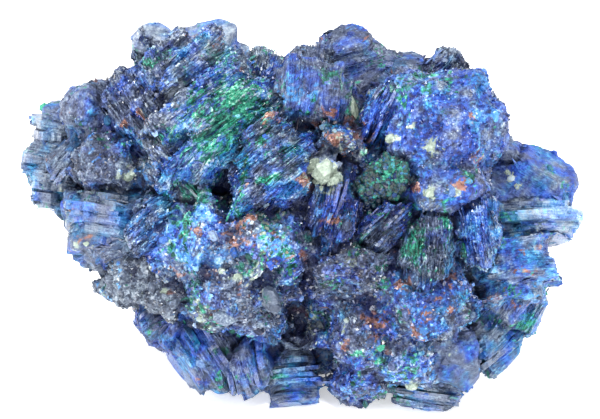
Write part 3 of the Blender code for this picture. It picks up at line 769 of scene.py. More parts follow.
draw = np.random.default_rng(9)
weights = np.clip((FLAT_FROM - ground.flatness()) / FLAT_FADE, FLAT_LEAST, 1)
weights = ground.areas * paged[ground.owner] * weights
weights *= crust[ground.owner] * ground.clear_of_clefts
blade_at, blade_up, blade_owner = ground.open_places(BLADES_TRIED, MOST_BLADES, weights, BLADE_ROOM, draw)
blades = len(blade_at)
blade_thin = page_normals(blade_owner, stack_share(blade_at, blade_owner))
up_stack, _ = stack_place(blade_at, blade_owner)
to_page = np.round(up_stack / PAGE_PITCH) * PAGE_PITCH - up_stack
blade_at += blade_thin * to_page[:, None]
print(blades, "blades, moved by", np.abs(to_page).mean().round(2), "mm onto their pages")

# %% How each blade is turned
THIN_STRAY, WAY_STRAY = 0.07, 0.05

blade_thin = unit(blade_thin + draw.normal(0, THIN_STRAY, (blades, 3)))
blade_way = unit(np.cross(blade_thin, blade_up) + draw.normal(0, WAY_STRAY, (blades, 3)))
blade_rise = unit(np.cross(blade_way, blade_thin))
blade_rise *= np.sign((blade_rise * blade_up).sum(1, keepdims=True))
blade_side = np.cross(blade_rise, blade_way)
blade_lean = np.degrees(np.arccos((blade_rise * blade_up).sum(1)))
print("blades lean", blade_lean.mean().round(1), "degrees on average")

# %% Size of each blade
BLADE_LENGTH, BLADE_THICK, BLADE_HEIGHT = 2.0, 0.22, 0.32
BLADE_SPREAD = 0.35
# ranges of single blades: thickness, height, height of each station, height of the two end stations
THICK_RANGE, HEIGHT_RANGE, STATION_RANGE, END_RANGE = (0.6, 1.5), (0.4, 1.4), (0.55, 1.1), (0.2, 0.9)
STATIONS = 4
# the inner two stations stand a little closer to the ends than a third
STATION_SPREAD = np.array([1, 1.3, 1.3, 1])

blade_length = BLADE_LENGTH * np.exp(draw.normal(0, BLADE_SPREAD, (blades, 1, 1)))
blade_thick = BLADE_THICK * draw.uniform(*THICK_RANGE, (blades, 1, 1))
crest = BLADE_HEIGHT * draw.uniform(*HEIGHT_RANGE, (blades, 1, 1))
crest = crest * draw.uniform(*STATION_RANGE, (blades, STATIONS, 1))
crest[:, [0, -1]] *= draw.uniform(*END_RANGE, (blades, 2, 1))
crest *= crust[blade_owner][:, None, None]
station = np.linspace(-0.5, 0.5, STATIONS)[None, :, None] * blade_length
station = station * STATION_SPREAD[None, :, None]
print("blades:", blade_length.mean().round(2), "mm long and", crest.mean().round(2), "mm high")

# %% Lay the blades on the rock
LAY_REACH = 1.1
BLADE_SUNK = 0.4
# a crest leans to one side by at most this share of the blade's thickness
CREST_LEAN = 0.5

middle_line = blade_at[:, None] + station * blade_way[:, None]
for blade in range(blades):
    down = -Vector(blade_rise[blade])
    for end in range(STATIONS):
        start = Vector(middle_line[blade, end]) - down * LAY_REACH
        found = ground.tree.ray_cast(start, down, 2 * LAY_REACH)[0]
        middle_line[blade, end] = blade_at[blade] if found is None else found
lean_over = blade_side[:, None] * blade_thick * draw.uniform(-CREST_LEAN, CREST_LEAN, (blades, 1, 1))
foot = middle_line[:, [0, -1]] - blade_rise[:, None] * BLADE_SUNK
half_side = blade_side[:, None] * blade_thick / 2
crest_line = middle_line + blade_rise[:, None] * crest + lean_over
blade_points = np.concatenate([crest_line, foot - half_side, foot + half_side], 1)
print("lowest blade point:", blade_points[..., 2].min().round(2), "mm")

# %% Faces of a blade
CREST_LEFT, CREST_RIGHT = 0, STATIONS - 1
LEFT_FEET, RIGHT_FEET = (STATIONS, STATIONS + 1), (STATIONS + 2, STATIONS + 3)
BLADE_CORNERS = STATIONS + 4
BLADE_FACES = [(*LEFT_FEET, CREST_RIGHT), (RIGHT_FEET[1], RIGHT_FEET[0], CREST_LEFT)]
for here in range(STATIONS - 1):
    BLADE_FACES += [(LEFT_FEET[0], here + 1, here), (RIGHT_FEET[1], here, here + 1)]
BLADE_FACES += [(LEFT_FEET[0], CREST_LEFT, RIGHT_FEET[0]), (LEFT_FEET[1], RIGHT_FEET[1], CREST_RIGHT)]
# the last two are its underside
BLADE_FACES += [(LEFT_FEET[0], RIGHT_FEET[0], RIGHT_FEET[1]), (LEFT_FEET[0], RIGHT_FEET[1], LEFT_FEET[1])]
BLADE_FACES = np.array(BLADE_FACES)
# where each corner goes on a flat square: the crest in the middle, the feet at two sides
BLADE_FLAT = [(0.1, 0.5), (0.37, 0.5), (0.63, 0.5), (0.9, 0.5), (0, 0), (1, 0), (0, 1), (1, 1)]
print("blades have", blades * len(BLADE_FACES), "triangles")

# %% [markdown]
# ## The crust of small crystals
# Druse is thousands of small crystals that stand on the surface. Each one here is a chisel: a narrow foot,
# two long faces and a short edge on top, because azurite's small crystals are flat like its pages. On a
# book they stand in line with the pages, and on a crumbly lump they point every way.

# %% Where the druse stands
DRUSE_TRIED, MOST_DRUSE = 200000, 62000
DRUSE_ROOM = 0.8
DRUSE_ON_LUMPS, DRUSE_LESS_ON_BOOKS = 1.1, 0.55
UNDERSIDE_DRUSE = 0.15

draw = np.random.default_rng(7)
blade_triangles = (BLADE_FACES[None] + BLADE_CORNERS * np.arange(blades)[:, None, None]).reshape(-1, 3)
blade_corners = blade_points.reshape(-1, 3)
wide_ground = Ground(
    np.concatenate([ground.points, blade_corners]),
    np.concatenate([ground.triangles, blade_triangles + len(ground.points)]),
    np.concatenate([skin_owner, plate_owner, np.repeat(blade_owner, BLADE_CORNERS)]),
    np.concatenate([skin_cleft, np.zeros(len(plate_points) + len(blade_corners))]),
)
weights = wide_ground.areas * (DRUSE_ON_LUMPS - DRUSE_LESS_ON_BOOKS * paged[wide_ground.owner])
weights *= crust[wide_ground.owner] * wide_ground.clear_of_clefts
weights *= np.clip(wide_ground.normals[:, 2] + 1.0, UNDERSIDE_DRUSE, 1)
druse_at, druse_up, druse_owner = wide_ground.open_places(DRUSE_TRIED, MOST_DRUSE, weights, DRUSE_ROOM, draw)
many = len(druse_at)
print(many, "druse crystals")

# %% How each crystal is turned
# books whose druse strays from the page direction more than on the others
LOOSE = {
    "crown": 1.3, "crown_left": 1.0, "crown_back": 2.0, "crown_corner": 2.0, "crown_tip": 0.8, "waist": 1.5,
}
LOOSE_ON_BOOKS, LOOSE_ON_LUMPS = 0.35, 5.0
STRAY, RISE_STRAY = 0.6, 0.35

loose_of = np.array([LOOSE.get(name, LOOSE_ON_BOOKS) for name in names])
loose = np.where(paged == 1, loose_of, LOOSE_ON_LUMPS)[druse_owner]
stray = loose[:, None] * draw.normal(0, STRAY, (many, 3))
thin = unit(page_normals(druse_owner, stack_share(druse_at, druse_owner)) + stray)
rise = unit(druse_up + draw.normal(0, RISE_STRAY, (many, 3)))
long_way = unit(np.cross(thin, rise))
rise = unit(np.cross(long_way, thin))
rise *= np.sign((rise * druse_up).sum(1, keepdims=True))
wide_way = np.cross(rise, long_way)
druse_lean = np.degrees(np.arccos((rise * druse_up).sum(1)))
print("druse leans", druse_lean.mean().round(1), "degrees on average")

# %% Points and faces of the druse
DRUSE_LENGTH, DRUSE_WIDTH, DRUSE_HEIGHT = 0.35, 0.16, 0.24
DRUSE_SPREAD = 0.33
# ranges of single crystals: length, width, height, height of each end of the top edge
LONG_RANGE, WIDE_RANGE, TALL_RANGE, TOP_RANGE = (0.7, 1.3), (0.6, 1.4), (0.5, 1.3), (0.6, 1.0)
DRUSE_SUNK = 0.12
TOP_LENGTH = 0.62

scale = np.exp(draw.normal(0, DRUSE_SPREAD, (many, 1))) * np.sqrt(crust[druse_owner])[:, None]
half_long = long_way * DRUSE_LENGTH * scale * draw.uniform(*LONG_RANGE, (many, 1)) / 2
half_wide = wide_way * DRUSE_WIDTH * scale * draw.uniform(*WIDE_RANGE, (many, 1)) / 2
height = DRUSE_HEIGHT * scale * draw.uniform(*TALL_RANGE, (many, 1))
foot = druse_at - rise * DRUSE_SUNK
left_top, right_top = [height * draw.uniform(*TOP_RANGE, (many, 1)) for _ in range(2)]
druse_points = np.stack([
    foot - half_long - half_wide,
    foot + half_long - half_wide,
    foot + half_long + half_wide,
    foot - half_long + half_wide,
    druse_at - half_long * TOP_LENGTH + rise * left_top,
    druse_at + half_long * TOP_LENGTH + rise * right_top,
], 1)
# two long faces, the two ends, and last the underside
DRUSE_FACES = np.array([
    (0, 1, 5), (0, 5, 4), (2, 3, 4), (2, 4, 5), (1, 2, 5), (3, 0, 4), (0, 3, 2), (0, 2, 1),
])
DRUSE_FLAT = [(0, 0), (1, 0), (1, 1), (0, 1), (0.2, 0.5), (0.8, 0.5)]
print("druse has", many * len(DRUSE_FACES), "triangles")

# %% [markdown]
# Crumbly parts also have rough bits of broken crystal. Each is an icosahedron whose corners are pulled in
# and out at random, pressed half into the rock.

# %% Shape of a crumb
GOLD = (1 + math.sqrt(5)) / 2
ICO_CORNERS = unit(np.array([
    (-1, GOLD, 0), (1, GOLD, 0), (-1, -GOLD, 0), (1, -GOLD, 0), (0, -1, GOLD), (0, 1, GOLD),
    (0, -1, -GOLD), (0, 1, -GOLD), (GOLD, 0, -1), (GOLD, 0, 1), (-GOLD, 0, -1), (-GOLD, 0, 1),
]))
ICO_FACES = np.array([
    (0, 11, 5), (0, 5, 1), (0, 1, 7), (0, 7, 10), (0, 10, 11), (1, 5, 9), (5, 11, 4), (11, 10, 2), (10, 7, 6),
    (7, 1, 8), (3, 9, 4), (3, 4, 2), (3, 2, 6), (3, 6, 8), (3, 8, 9), (4, 9, 5), (2, 4, 11), (6, 2, 10),
    (8, 6, 7), (9, 8, 1),
])
print("a crumb has", len(ICO_FACES), "faces")

# %% Scatter the crumbs
CRUMBS_TRIED = 5000
CRUMB_SIZE, CRUMB_ROOM = 0.36, 1.0
CRUMBS_LESS_ON_BOOKS = 0.7
CRUMB_SPREAD = 0.4
# ranges of single crumbs: how far each corner stands out, and how far the whole is stretched each way
CORNER_RANGE, STRETCH_RANGE = (0.6, 1.25), (0.6, 1.3)

draw = np.random.default_rng(12)
weights = ground.areas * (1.0 - CRUMBS_LESS_ON_BOOKS * paged[ground.owner])
crumb_at, _, crumb_owner = ground.open_places(CRUMBS_TRIED, CRUMBS_TRIED, weights, CRUMB_ROOM, draw)
crumbs = len(crumb_at)
crumb_size = CRUMB_SIZE * np.exp(draw.normal(0, CRUMB_SPREAD, (crumbs, 1, 1)))
crumb_points = ICO_CORNERS[None] * crumb_size
crumb_points = crumb_points * draw.uniform(*CORNER_RANGE, (crumbs, len(ICO_CORNERS), 1))
crumb_points = crumb_points * draw.uniform(*STRETCH_RANGE, (crumbs, 1, 3)) + crumb_at[:, None]
print("crumbs:", crumbs, "with", crumbs * len(ICO_FACES), "triangles")

# %% [markdown]
# ## Where the minerals are
# Azurite is blue, but this rock isn't one colour. Malachite grows on it in green threads and crusts, thin
# films make it sky blue, limonite is rusty, clay is cream and weathered azurite is grey. Each stronger spot
# is an ellipse on the show face: its place across and up, its two half sizes, its turn in degrees and its
# strength. A ray from the camera finds where it lies on the rock, and then only distance along the rock
# matters, so it stays put from any side. Weaker flecks of each mineral come from noise and go all round.

# %% Mineral spots
# across, up, half long, half short (mm), turn (degrees), strength
MALACHITE_SPOTS = (
    (-10.0, 16.2, 7, 4.5, 40, 1), (-12.0, 12.8, 6, 3, 40, 0.9), (-20.6, 23.7, 1.2, 1.2, 0, 0.8),
    (-23.1, 22.6, 1.2, 1.2, 0, 0.8), (-12.0, 22.9, 2.5, 2.5, 0, 0.6), (-16.8, 3.4, 4, 2, -50, 0.8),
    (-14.5, 9.4, 3, 3, 0, 0.6), (-31.0, 2.7, 3, 1, 0, 0.5), (-36.3, 2.7, 1.5, 0.6, 90, 0.6),
    (-8.8, 5.7, 3.5, 0.5, 85, 1), (-5.5, 5.0, 3, 0.6, 15, 1), (-1.8, 9.4, 3, 1.5, 35, 0.6),
    (-6.0, 10.9, 1.5, 1.5, 0, 0.5), (4.6, 20.7, 2.5, 2, 0, 0.7), (6.0, 19.2, 1.2, 1.2, 0, 0.6),
    (7.6, 15.8, 3, 1.2, -75, 0.9), (18.4, 20.7, 2, 1, 0, 0.7), (18.9, 18.8, 1, 1, 0, 0.7),
    (16.1, 19.2, 1, 1, 0, 0.6), (22.2, 20.2, 2.5, 0.4, 10, 0.8), (9.4, 8.7, 2, 0.8, 60, 0.7),
    (14.2, 6.8, 1.6, 1.2, 0, 1), (15.9, 5.0, 1.4, 1.2, 0, 1), (14.7, 1.9, 1.4, 1.2, 0, 1),
    (11.4, 4.6, 4.5, 3, -20, 0.55), (24.9, 5.7, 1.3, 1.3, 0, 0.8), (37.2, 6.5, 1, 1, 0, 0.7),
    (21.8, -1.8, 4, 0.8, -80, 0.9), (24.0, -5.5, 2, 0.6, -80, 0.8), (16.5, -5.5, 2.5, 1.6, 70, 1),
    (-14.2, -17.2, 2, 0.8, 80, 0.8), (-12.0, -20.6, 1.5, 0.8, 0, 0.8), (-4.0, -24.8, 2, 1, 0, 0.5),
    (-16.1, -12.0, 2.5, 1.2, 80, 0.6), (-17.7, -1.1, 1.5, 0.7, 60, 0.8), (-17.6, -3.3, 2.5, 0.8, 80, 0.9),
    (-19.5, -5.2, 2.2, 0.7, 15, 0.9), (-41.7, 9.4, 3, 1, -60, 0.6), (-33.6, 13.9, 1.5, 0.6, 0, 0.5),
    (-2.5, -5.5, 1, 0.6, 0, 0.7), (0.9, -4.0, 0.7, 0.7, 0, 0.8), (8.4, -21.3, 1.5, 0.7, 0, 0.9),
    (16.9, -21.8, 1.5, 1, 0, 0.8), (16.6, -23.6, 1, 1, 0, 0.8), (13.2, -26.6, 3, 1.5, 0, 0.5),
    (27.4, -15.6, 2, 1, 0, 0.5), (33.8, -16.8, 3, 1.5, 50, 0.7), (22.6, -27.8, 1, 1, 0, 0.6),
    (0.9, -16.3, 1.2, 0.8, 0, 0.5), (30.4, -0.3, 2.5, 0.8, 0, 0.7),
)
SKY_SPOTS = (
    (-15.0, 0.1, 3, 1.5, 80, 0.9), (-21.0, -3.3, 3, 2.2, 0, 0.5), (-13.0, -6.6, 6, 3, 0, 0.55),
    (-4.0, -4.8, 2.5, 1.5, -25, 1), (-17.4, 13.3, 1.5, 1.2, 0, 0.9), (-25.8, 11.7, 3, 2, 0, 0.6),
    (-23.6, 3.9, 2, 2, 0, 0.6), (26.4, 14.8, 0.8, 0.8, 0, 1), (28.9, 15.0, 0.8, 0.8, 0, 1),
    (34.2, -0.1, 5, 0.8, 2, 1), (29.2, -3.0, 1.2, 0.8, 0, 1), (37.9, -3.6, 1.2, 0.5, 0, 1),
    (19.2, -14.5, 5, 3, 0, 0.5), (4.6, -21.3, 3, 2, 0, 0.6), (34.2, -12.6, 1.5, 1, 0, 0.8),
    (35.7, -10.0, 1.8, 0.7, 40, 0.8), (11.4, -21.6, 1.2, 0.8, 0, 0.9),
)
RUST_SPOTS = (
    (-26.6, 13.2, 0.6, 0.6, 0, 1), (-24.0, 14.8, 1.5, 0.5, -50, 0.8), (-9.2, 21.8, 1, 1, 0, 0.6),
    (-7.3, 21.1, 1, 0.8, 0, 0.6), (-4.5, 14.7, 1.5, 1.2, 0, 0.8), (-8.1, -0.9, 1.8, 0.5, 15, 1),
    (-32.4, -3.6, 1.5, 0.5, 20, 0.8), (-15.8, -2.7, 1, 0.6, 0, 0.8), (-10.8, -4.5, 1, 0.7, 0, 0.9),
    (-18.6, -9.0, 1, 0.6, -35, 0.9), (-20.1, -11.8, 1, 0.4, 0, 0.8), (-13.5, -9.3, 0.8, 0.8, 0, 0.8),
    (-1.5, -14.2, 2, 0.8, 0, 0.8), (1.6, 13.2, 1.8, 0.5, 5, 1), (4.2, 15.0, 1.5, 1, 0, 0.8),
    (5.4, 11.4, 2.4, 1.6, 0, 0.9), (7.9, 12.2, 3, 2, -70, 0.8), (7.2, 13.9, 1.2, 1, 0, 0.7),
    (0.4, 5.2, 2, 1, -20, 1), (1.5, 4.0, 1.2, 0.8, 0, 1), (23.4, 4.2, 1.5, 1.2, 0, 0.9),
    (17.1, 4.0, 0.8, 0.8, 0, 0.8), (25.5, 14.5, 0.7, 0.7, 0, 0.8), (26.4, 7.9, 1.2, 1, 0, 0.7),
    (4.6, -1.3, 2, 0.8, 0, 0.9), (0.1, -6.3, 0.8, 0.8, 0, 0.9), (15.3, -10.8, 1.8, 0.8, 15, 0.8),
    (10.5, -16.1, 2, 1, 0, 0.9), (15.8, -15.0, 0.6, 0.6, 0, 0.9), (22.3, -14.5, 0.8, 0.8, 0, 0.8),
    (16.9, -18.0, 1.2, 0.9, 0, 0.8), (12.8, -21.3, 0.8, 0.8, 0, 0.8), (6.5, -19.6, 0.8, 0.8, 0, 0.8),
    (0.4, -14.7, 2.5, 0.8, -25, 0.8), (35.7, -5.1, 1.5, 0.4, 0, 0.7), (33.8, -8.8, 1.8, 0.4, 0, 0.7),
    (29.7, -13.0, 2.5, 1.5, 0, 0.5), (31.6, -13.9, 1.5, 1, 0, 0.5), (21.3, -10.0, 0.6, 0.6, 0, 0.7),
)
CLAY_SPOTS = (
    (3.4, 6.1, 2.8, 2.1, 0, 1), (-26.1, 5.5, 1.2, 1.2, 0, 0.7), (-27.6, 5.5, 1, 1, 0, 0.6),
    (-34.0, -5.0, 0.8, 0.8, 0, 0.7), (-20.8, -11.7, 0.4, 0.4, 0, 1), (-9.6, -9.6, 1, 0.8, 0, 0.7),
    (-12.0, -8.8, 0.8, 0.8, 0, 0.7), (-6.3, -9.3, 2, 1.4, 0, 0.45), (13.5, 11.2, 1.4, 0.9, 0, 0.9),
    (16.5, 12.9, 0.8, 0.8, 0, 0.8), (19.5, 9.9, 1.3, 1, 0, 0.9), (22.9, 3.1, 1, 0.7, 0, 0.8),
    # the three small spots from 30.9 to 32.7 across are painted highlights: white glints on the wing, given
    # as clay
    (19.3, 2.9, 1, 1, 0, 0.8), (30.9, 6.1, 0.6, 0.4, 0, 1), (31.5, 5.0, 0.5, 0.4, 0, 1),
    (32.7, 4.2, 0.5, 0.4, 0, 1), (16.5, -25.9, 1.2, 1, 0, 0.8),
    (7.2, -7.3, 1.5, 1, 0, 0.5), (5.7, 11.7, 1.4, 1, 0, 0.5), (7.6, 15.8, 2, 0.8, -75, 0.5),
)
ASH_SPOTS = (
    (-19.5, 17.7, 4, 3, 0, 0.8), (-22.8, 10.2, 3, 3, 0, 0.8),
    (-26.6, -8.5, 2.5, 2, 0, 0.9), (-23.6, -8.8, 2.2, 1.6, 0, 0.8), (-19.1, -14.5, 3, 2, 0, 0.5),
    (19.3, 1.5, 1.8, 1.2, 0, 0.8), (40.2, 5.0, 2, 1.6, 0, 0.6), (-4.6, -13.2, 2.2, 2.2, 0, 1),
)

print(sum(len(spots) for spots in (MALACHITE_SPOTS, SKY_SPOTS, RUST_SPOTS, CLAY_SPOTS, ASH_SPOTS)), "spots")

# %% Strength of the listed spots
SPOT_EDGE_SIZE, SPOT_EDGE = 0.6, 1.15
# the edge has finer bits too, and the two noises together reach about this far
EDGE_FINER, EDGE_SUM = 2.6, 1.4
SPOT_DEPTH = 2.2
SPOT_REACH = 2.3
SPOT_BODY = 1.35


def on_the_rock(across, up):
    """Where a place on the show face lies on the rock."""
    return np.array(ground.tree.ray_cast(Vector(camera_place), Vector(sight_line(across, up)))[0])


def spot_strength(points, spots, seed):
    """How much of a mineral the listed spots give each point, from 0 to 1."""
    ragged = cloud(points, SPOT_EDGE_SIZE, seed) + cloud(points, SPOT_EDGE_SIZE / EDGE_FINER, seed + 50)
    ragged *= SPOT_EDGE / EDGE_SUM
    total = np.zeros(len(points))
    for across, up, long, short, turn, strength in spots:
        away = (points - on_the_rock(across, up)) @ FACE_AXES.T
        near = np.flatnonzero((np.abs(away) < SPOT_REACH * max(long, SPOT_DEPTH)).all(1))
        angle = math.radians(turn)
        along = away[near, 0] * math.cos(angle) + away[near, 1] * math.sin(angle)
        beside = away[near, 1] * math.cos(angle) - away[near, 0] * math.sin(angle)
        deep = away[near, 2] / max(SPOT_DEPTH, short)
        reach = np.sqrt((along / long) ** 2 + (beside / short) ** 2 + deep**2)
        total[near] = np.maximum(total[near], strength * np.clip(SPOT_BODY - reach + ragged[near], 0, 1))
    return total


print("strongest malachite on the skin:", spot_strength(skin_points, MALACHITE_SPOTS, 70).max().round(2))

# %% Flecks of each mineral
# mineral, spots, sizes of its natural flecks, how rare they are, how strong
MINERALS = (
    ("malachite", MALACHITE_SPOTS, (3.4, 0.45), 0.66, 0.9),
    ("sky", SKY_SPOTS, (4.6, 0.5), 0.72, 0.7),
    ("rust", RUST_SPOTS, (3.8, 0.45), 0.96, 0.8),
    ("clay", CLAY_SPOTS, (4.2, 0.4), 0.98, 0.8),
    ("ash", ASH_SPOTS, (5.5, 1.2), 0.85, 0.5),
)
WIDE_FLECKS, FINE_FLECKS, FLECK_EDGE = 0.9, 0.8, 3.0
# growths with more flecks than the others
SPECKLED = {
    "slope_left": 0.30, "slope_middle": 0.34, "slope_low": 0.22, "apron": 0.26, "apron_left": 0.26,
    "foot_right": 0.26, "foot_right_inner": 0.2, "waist": 0.15, "heart_lower": 0.15, "wing_root": 0.15,
    "wing_hem": 0.2, "crown": 0.08, "crown_tip": 0.1, "page_block_toe": 0.2, "gap_floor": 0.25,
}
speckled = np.array([SPECKLED.get(name, 0.0) for name in names])


def flecks(points, sizes, rare, strength, seed):
    """Natural flecks of a mineral, from 0 to 1, where rare is a number for each point."""
    wide, fine = sizes
    level = WIDE_FLECKS * cloud(points, wide, seed) + FINE_FLECKS * cloud(points, fine, seed + 1)
    return strength * np.clip((level - rare) * FLECK_EDGE, 0, 1)


print(len(MINERALS), "minerals,", len(SPECKLED), "growths with more flecks")

# %% [markdown]
# Shade is painted into hollows: the blue is mixed towards a dark blue there, and in the seams and clefts
# between growths too. A hollow is where the skin lies below its own average: many rounds of averaging give
# that smooth shape, and the distance to it says how deep a point lies.

# %% Painted shade in hollows
SOFTENING_ROUNDS = 120
HOLLOW_DEPTH = 1.5
SEAM_SHADE, CLEFT_SHADE = 0.35, 1.0


def soft_skin():
    """The skin's points averaged with their neighbours many times: its shape without its hollows."""
    ends = np.empty(len(skin.edges) * 2, dtype=np.int64)
    skin.edges.foreach_get("vertices", ends)
    one, other = ends.reshape(-1, 2).T
    soft = skin_points.copy()
    size = len(soft)
    count = np.bincount(one, minlength=size) + np.bincount(other, minlength=size)
    for _ in range(SOFTENING_ROUNDS):
        for axis in range(3):
            line = soft[:, axis]
            around = np.bincount(one, line[other], size) + np.bincount(other, line[one], size)
            soft[:, axis] = 0.5 * line + 0.5 * around / np.maximum(count, 1)
    return soft


_, skin_normals = mesh_points(skin)
hollow = np.clip(((soft_skin() - skin_points) * skin_normals).sum(1) / HOLLOW_DEPTH, -1, 1)
# painted shade: seams and clefts between growths are painted darker too
hollow = np.maximum(hollow, np.maximum(SEAM_SHADE * skin_seam, CLEFT_SHADE * skin_cleft))
skin_lookup = KDTree(len(skin_points))
for index, point in enumerate(skin_points):
    skin_lookup.insert(point, index)
skin_lookup.balance()
print("points in hollows:", (hollow > 0.3).mean().round(2), "of the skin")

# %% Streaks along the pages
STRAND_THICK, STRAND_LONG, STRAND_CRUMB = 0.25, 2.6, 0.9
STRAND_SHIFT = 7.3


def strands(points, owner):
    """A place for the material's streaks: short steps through a stack, and long ones along its pages."""
    up_stack, along = stack_place(points, owner)
    deep = ((points - middles[owner]) * axes[owner, 2]).sum(1)
    streaked = np.stack([up_stack / STRAND_THICK, along / STRAND_LONG, deep / STRAND_LONG], 1)
    return np.where(paged[owner, None] == 1, streaked + STRAND_SHIFT * owner[:, None], points / STRAND_CRUMB)


print("a streak is", STRAND_THICK, "by", STRAND_LONG, "mm")

# %% [markdown]
# Every point now gets its looks as plain numbers that the materials read: its own tint, how crisp its
# contrast is, how deep it lies for painted shade, how grey, how teal and how light it is, and how much of
# each other mineral covers it. Grey, teal and light drift in patches some millimetres wide, because the
# water that grew and weathered them did too.

# %% All the looks of a point
CALM = 0.35
WEATHERED = ("ash_outer", "ash_inner", "grey_crystal")
SPARED = 0.3
DULL_SPREAD, TEAL_START = 0.4, -0.2
# one crystal has one tint, and these turn it into values that have nothing to do with each other
DULL_FROM_TINT, TEAL_FROM_TINT, SPARED_FROM_TINT = 7.31, 5.17, 11.7
# few crystals are much more teal than the others
TEAL_RARITY = 4
# weathered growths are ashen all over: the mean, the swing and the size of a patch in millimetres
ASHEN_MEAN, ASHEN_SWING, ASHEN_PATCH = 0.8, 0.3, 2.4
# patch size in millimetres, strength, seed
DULL_PATCHES = ((2.3, 1.0, 98), (0.9, 0.5, 99))
TEAL_PATCHES = ((2.7, 0.9, 97), (1.1, 0.45, 94))
LIGHT_PATCHES = ((2.6, 0.24, 96), (1.0, 0.16, 93))


def patches(points, layers):
    """Clouds of several sizes added up."""
    return sum(strength * cloud(points, size, seed) for size, strength, seed in layers)


def looks(points, owner, tint):
    """Every value that the materials read, for these points."""
    nearest = [skin_lookup.find(point)[1] for point in points]
    crisp = CALM + (1 - CALM) * crust[owner]
    values = {"tint": 0.5 + (tint - 0.5) * crisp, "crisp": crisp, "hollow": hollow[nearest] * crisp}
    values["strand"] = strands(points, owner)
    dull = ash_share[owner] + DULL_SPREAD * (tint * DULL_FROM_TINT % 1.0 - 0.5)
    dull = dull + patches(points, DULL_PATCHES)
    teal = teal_share[owner] + (tint * TEAL_FROM_TINT % 1.0) ** TEAL_RARITY + TEAL_START
    teal = teal + patches(points, TEAL_PATCHES)
    values["dull"], values["teal"] = np.clip(dull, 0, 1), np.clip(teal, 0, 1)
    # partly painted light and shade: each growth's brightness step also makes up for how lit it is
    values["light"] = blue_light[owner] + crisp * patches(points, LIGHT_PATCHES)
    for seed, (mineral, spots, sizes, rare, strength) in enumerate(MINERALS):
        listed = spot_strength(points, spots, 70 + seed)
        natural = flecks(points, sizes, rare - speckled[owner], strength, 80 + 2 * seed)
        spared = SPARED * (tint * (SPARED_FROM_TINT + seed) % 1.0)
        values[mineral] = np.clip(np.maximum(listed, natural) - spared, 0, 1)
    ashen = ASHEN_MEAN + ASHEN_SWING * cloud(points, ASHEN_PATCH, 95)
    weathered = np.isin(np.array(names)[owner], WEATHERED) * ashen
    values["ash"] = np.clip(np.maximum(values["ash"], weathered), 0, 1)
    return values


print("looks:", *looks(skin_points[:1], skin_owner[:1], np.array([0.5])))

# %% [markdown]
# ## Stones
# A few bits aren't azurite crystals at all: pale lumps of clay and quartz, a mint wedge, a silvery grey
# crystal. Three tiny white ones on the wing are painted highlights: white glints made as clay. Broken
# mineral has flat faces that meet in edges, so each is the convex hull of random points in an ellipsoid. A
# cut cube would give flat faces too, but all of them square to each other.

# %% List of stones
# mineral, across, up, half sizes (along, beside, out), turn in degrees
STONES = (
    ("clay", 3.7, 6.0, (2.3, 1.9, 1.8), 10), ("clay", 1.7, 7.1, (1.5, 1.2, 1.4), 40),
    ("clay", 5.0, 4.9, (1.3, 1.5, 1.5), -30), ("clay", 2.7, 4.8, (1.2, 0.9, 1.3), 0),
    ("ash", -4.7, -12.6, (1.9, 1.4, 1.8), -65), ("ash", -4.3, -14.2, (1.3, 1.1, 1.4), -20),
    ("clay", 13.5, 11.2, (1.2, 0.8, 0.8), 10), ("clay", 19.5, 9.9, (1.1, 0.7, 0.7), 20),
    ("clay", 19.3, 2.9, (0.9, 0.8, 0.8), 0), ("clay", 16.5, 12.9, (0.6, 0.5, 0.5), 0),
    ("clay", 22.9, 3.1, (0.8, 0.6, 0.7), 0), ("clay", 16.5, -26.0, (1.1, 0.8, 0.8), 0),
    # the three smallest, from 30.9 to 32.7 across, are painted highlights: white glints on the wing made as
    # clay
    ("clay", 30.9, 6.2, (0.45, 0.3, 0.3), 0), ("clay", 31.5, 5.0, (0.4, 0.3, 0.3), 30),
    ("clay", 32.7, 4.2, (0.4, 0.25, 0.3), 0), ("clay", 7.6, 15.8, (2.6, 0.8, 1.0), -75),
    ("clay", -32.4, -4.6, (0.6, 0.5, 0.5), 0), ("clay", -9.6, -9.6, (0.8, 0.6, 0.6), 0),
    ("clay", -12.0, -8.8, (0.6, 0.5, 0.5), 20), ("clay", -26.1, 5.5, (0.9, 0.8, 0.8), 0),
    ("ash", -30.2, -8.4, (1.4, 1.1, 1.2), 20), ("ash", -28.6, -10.2, (1.1, 1.3, 1.1), 60),
    ("ash", -26.6, -9.4, (1.2, 0.9, 1.0), -20), ("ash", -24.0, -9.2, (1.0, 0.8, 0.9), 10),
    ("ash", -22.4, -11.2, (0.9, 1.2, 1.0), 0), ("ash", -19.4, -13.6, (1.2, 0.9, 1.0), 30),
)
HULL_POINTS, HULL_DEPTHS = 30, (0.85, 1.0)
STONE_SUNK = 0.25
print(len(STONES), "stones")


# %% Make the stones
def convex(points):
    """The convex hull of some points, as points and triangles."""
    shape = bmesh.new()
    for point in points:
        shape.verts.new(point)
    bmesh.ops.convex_hull(shape, input=shape.verts)
    bmesh.ops.delete(shape, geom=[vert for vert in shape.verts if not vert.link_faces], context="VERTS")
    bmesh.ops.triangulate(shape, faces=shape.faces)
    shape.verts.index_update()
    corners = [tuple(vert.co) for vert in shape.verts]
    triangles = [[vert.index for vert in face.verts] for face in shape.faces]
    shape.free()
    return corners, triangles


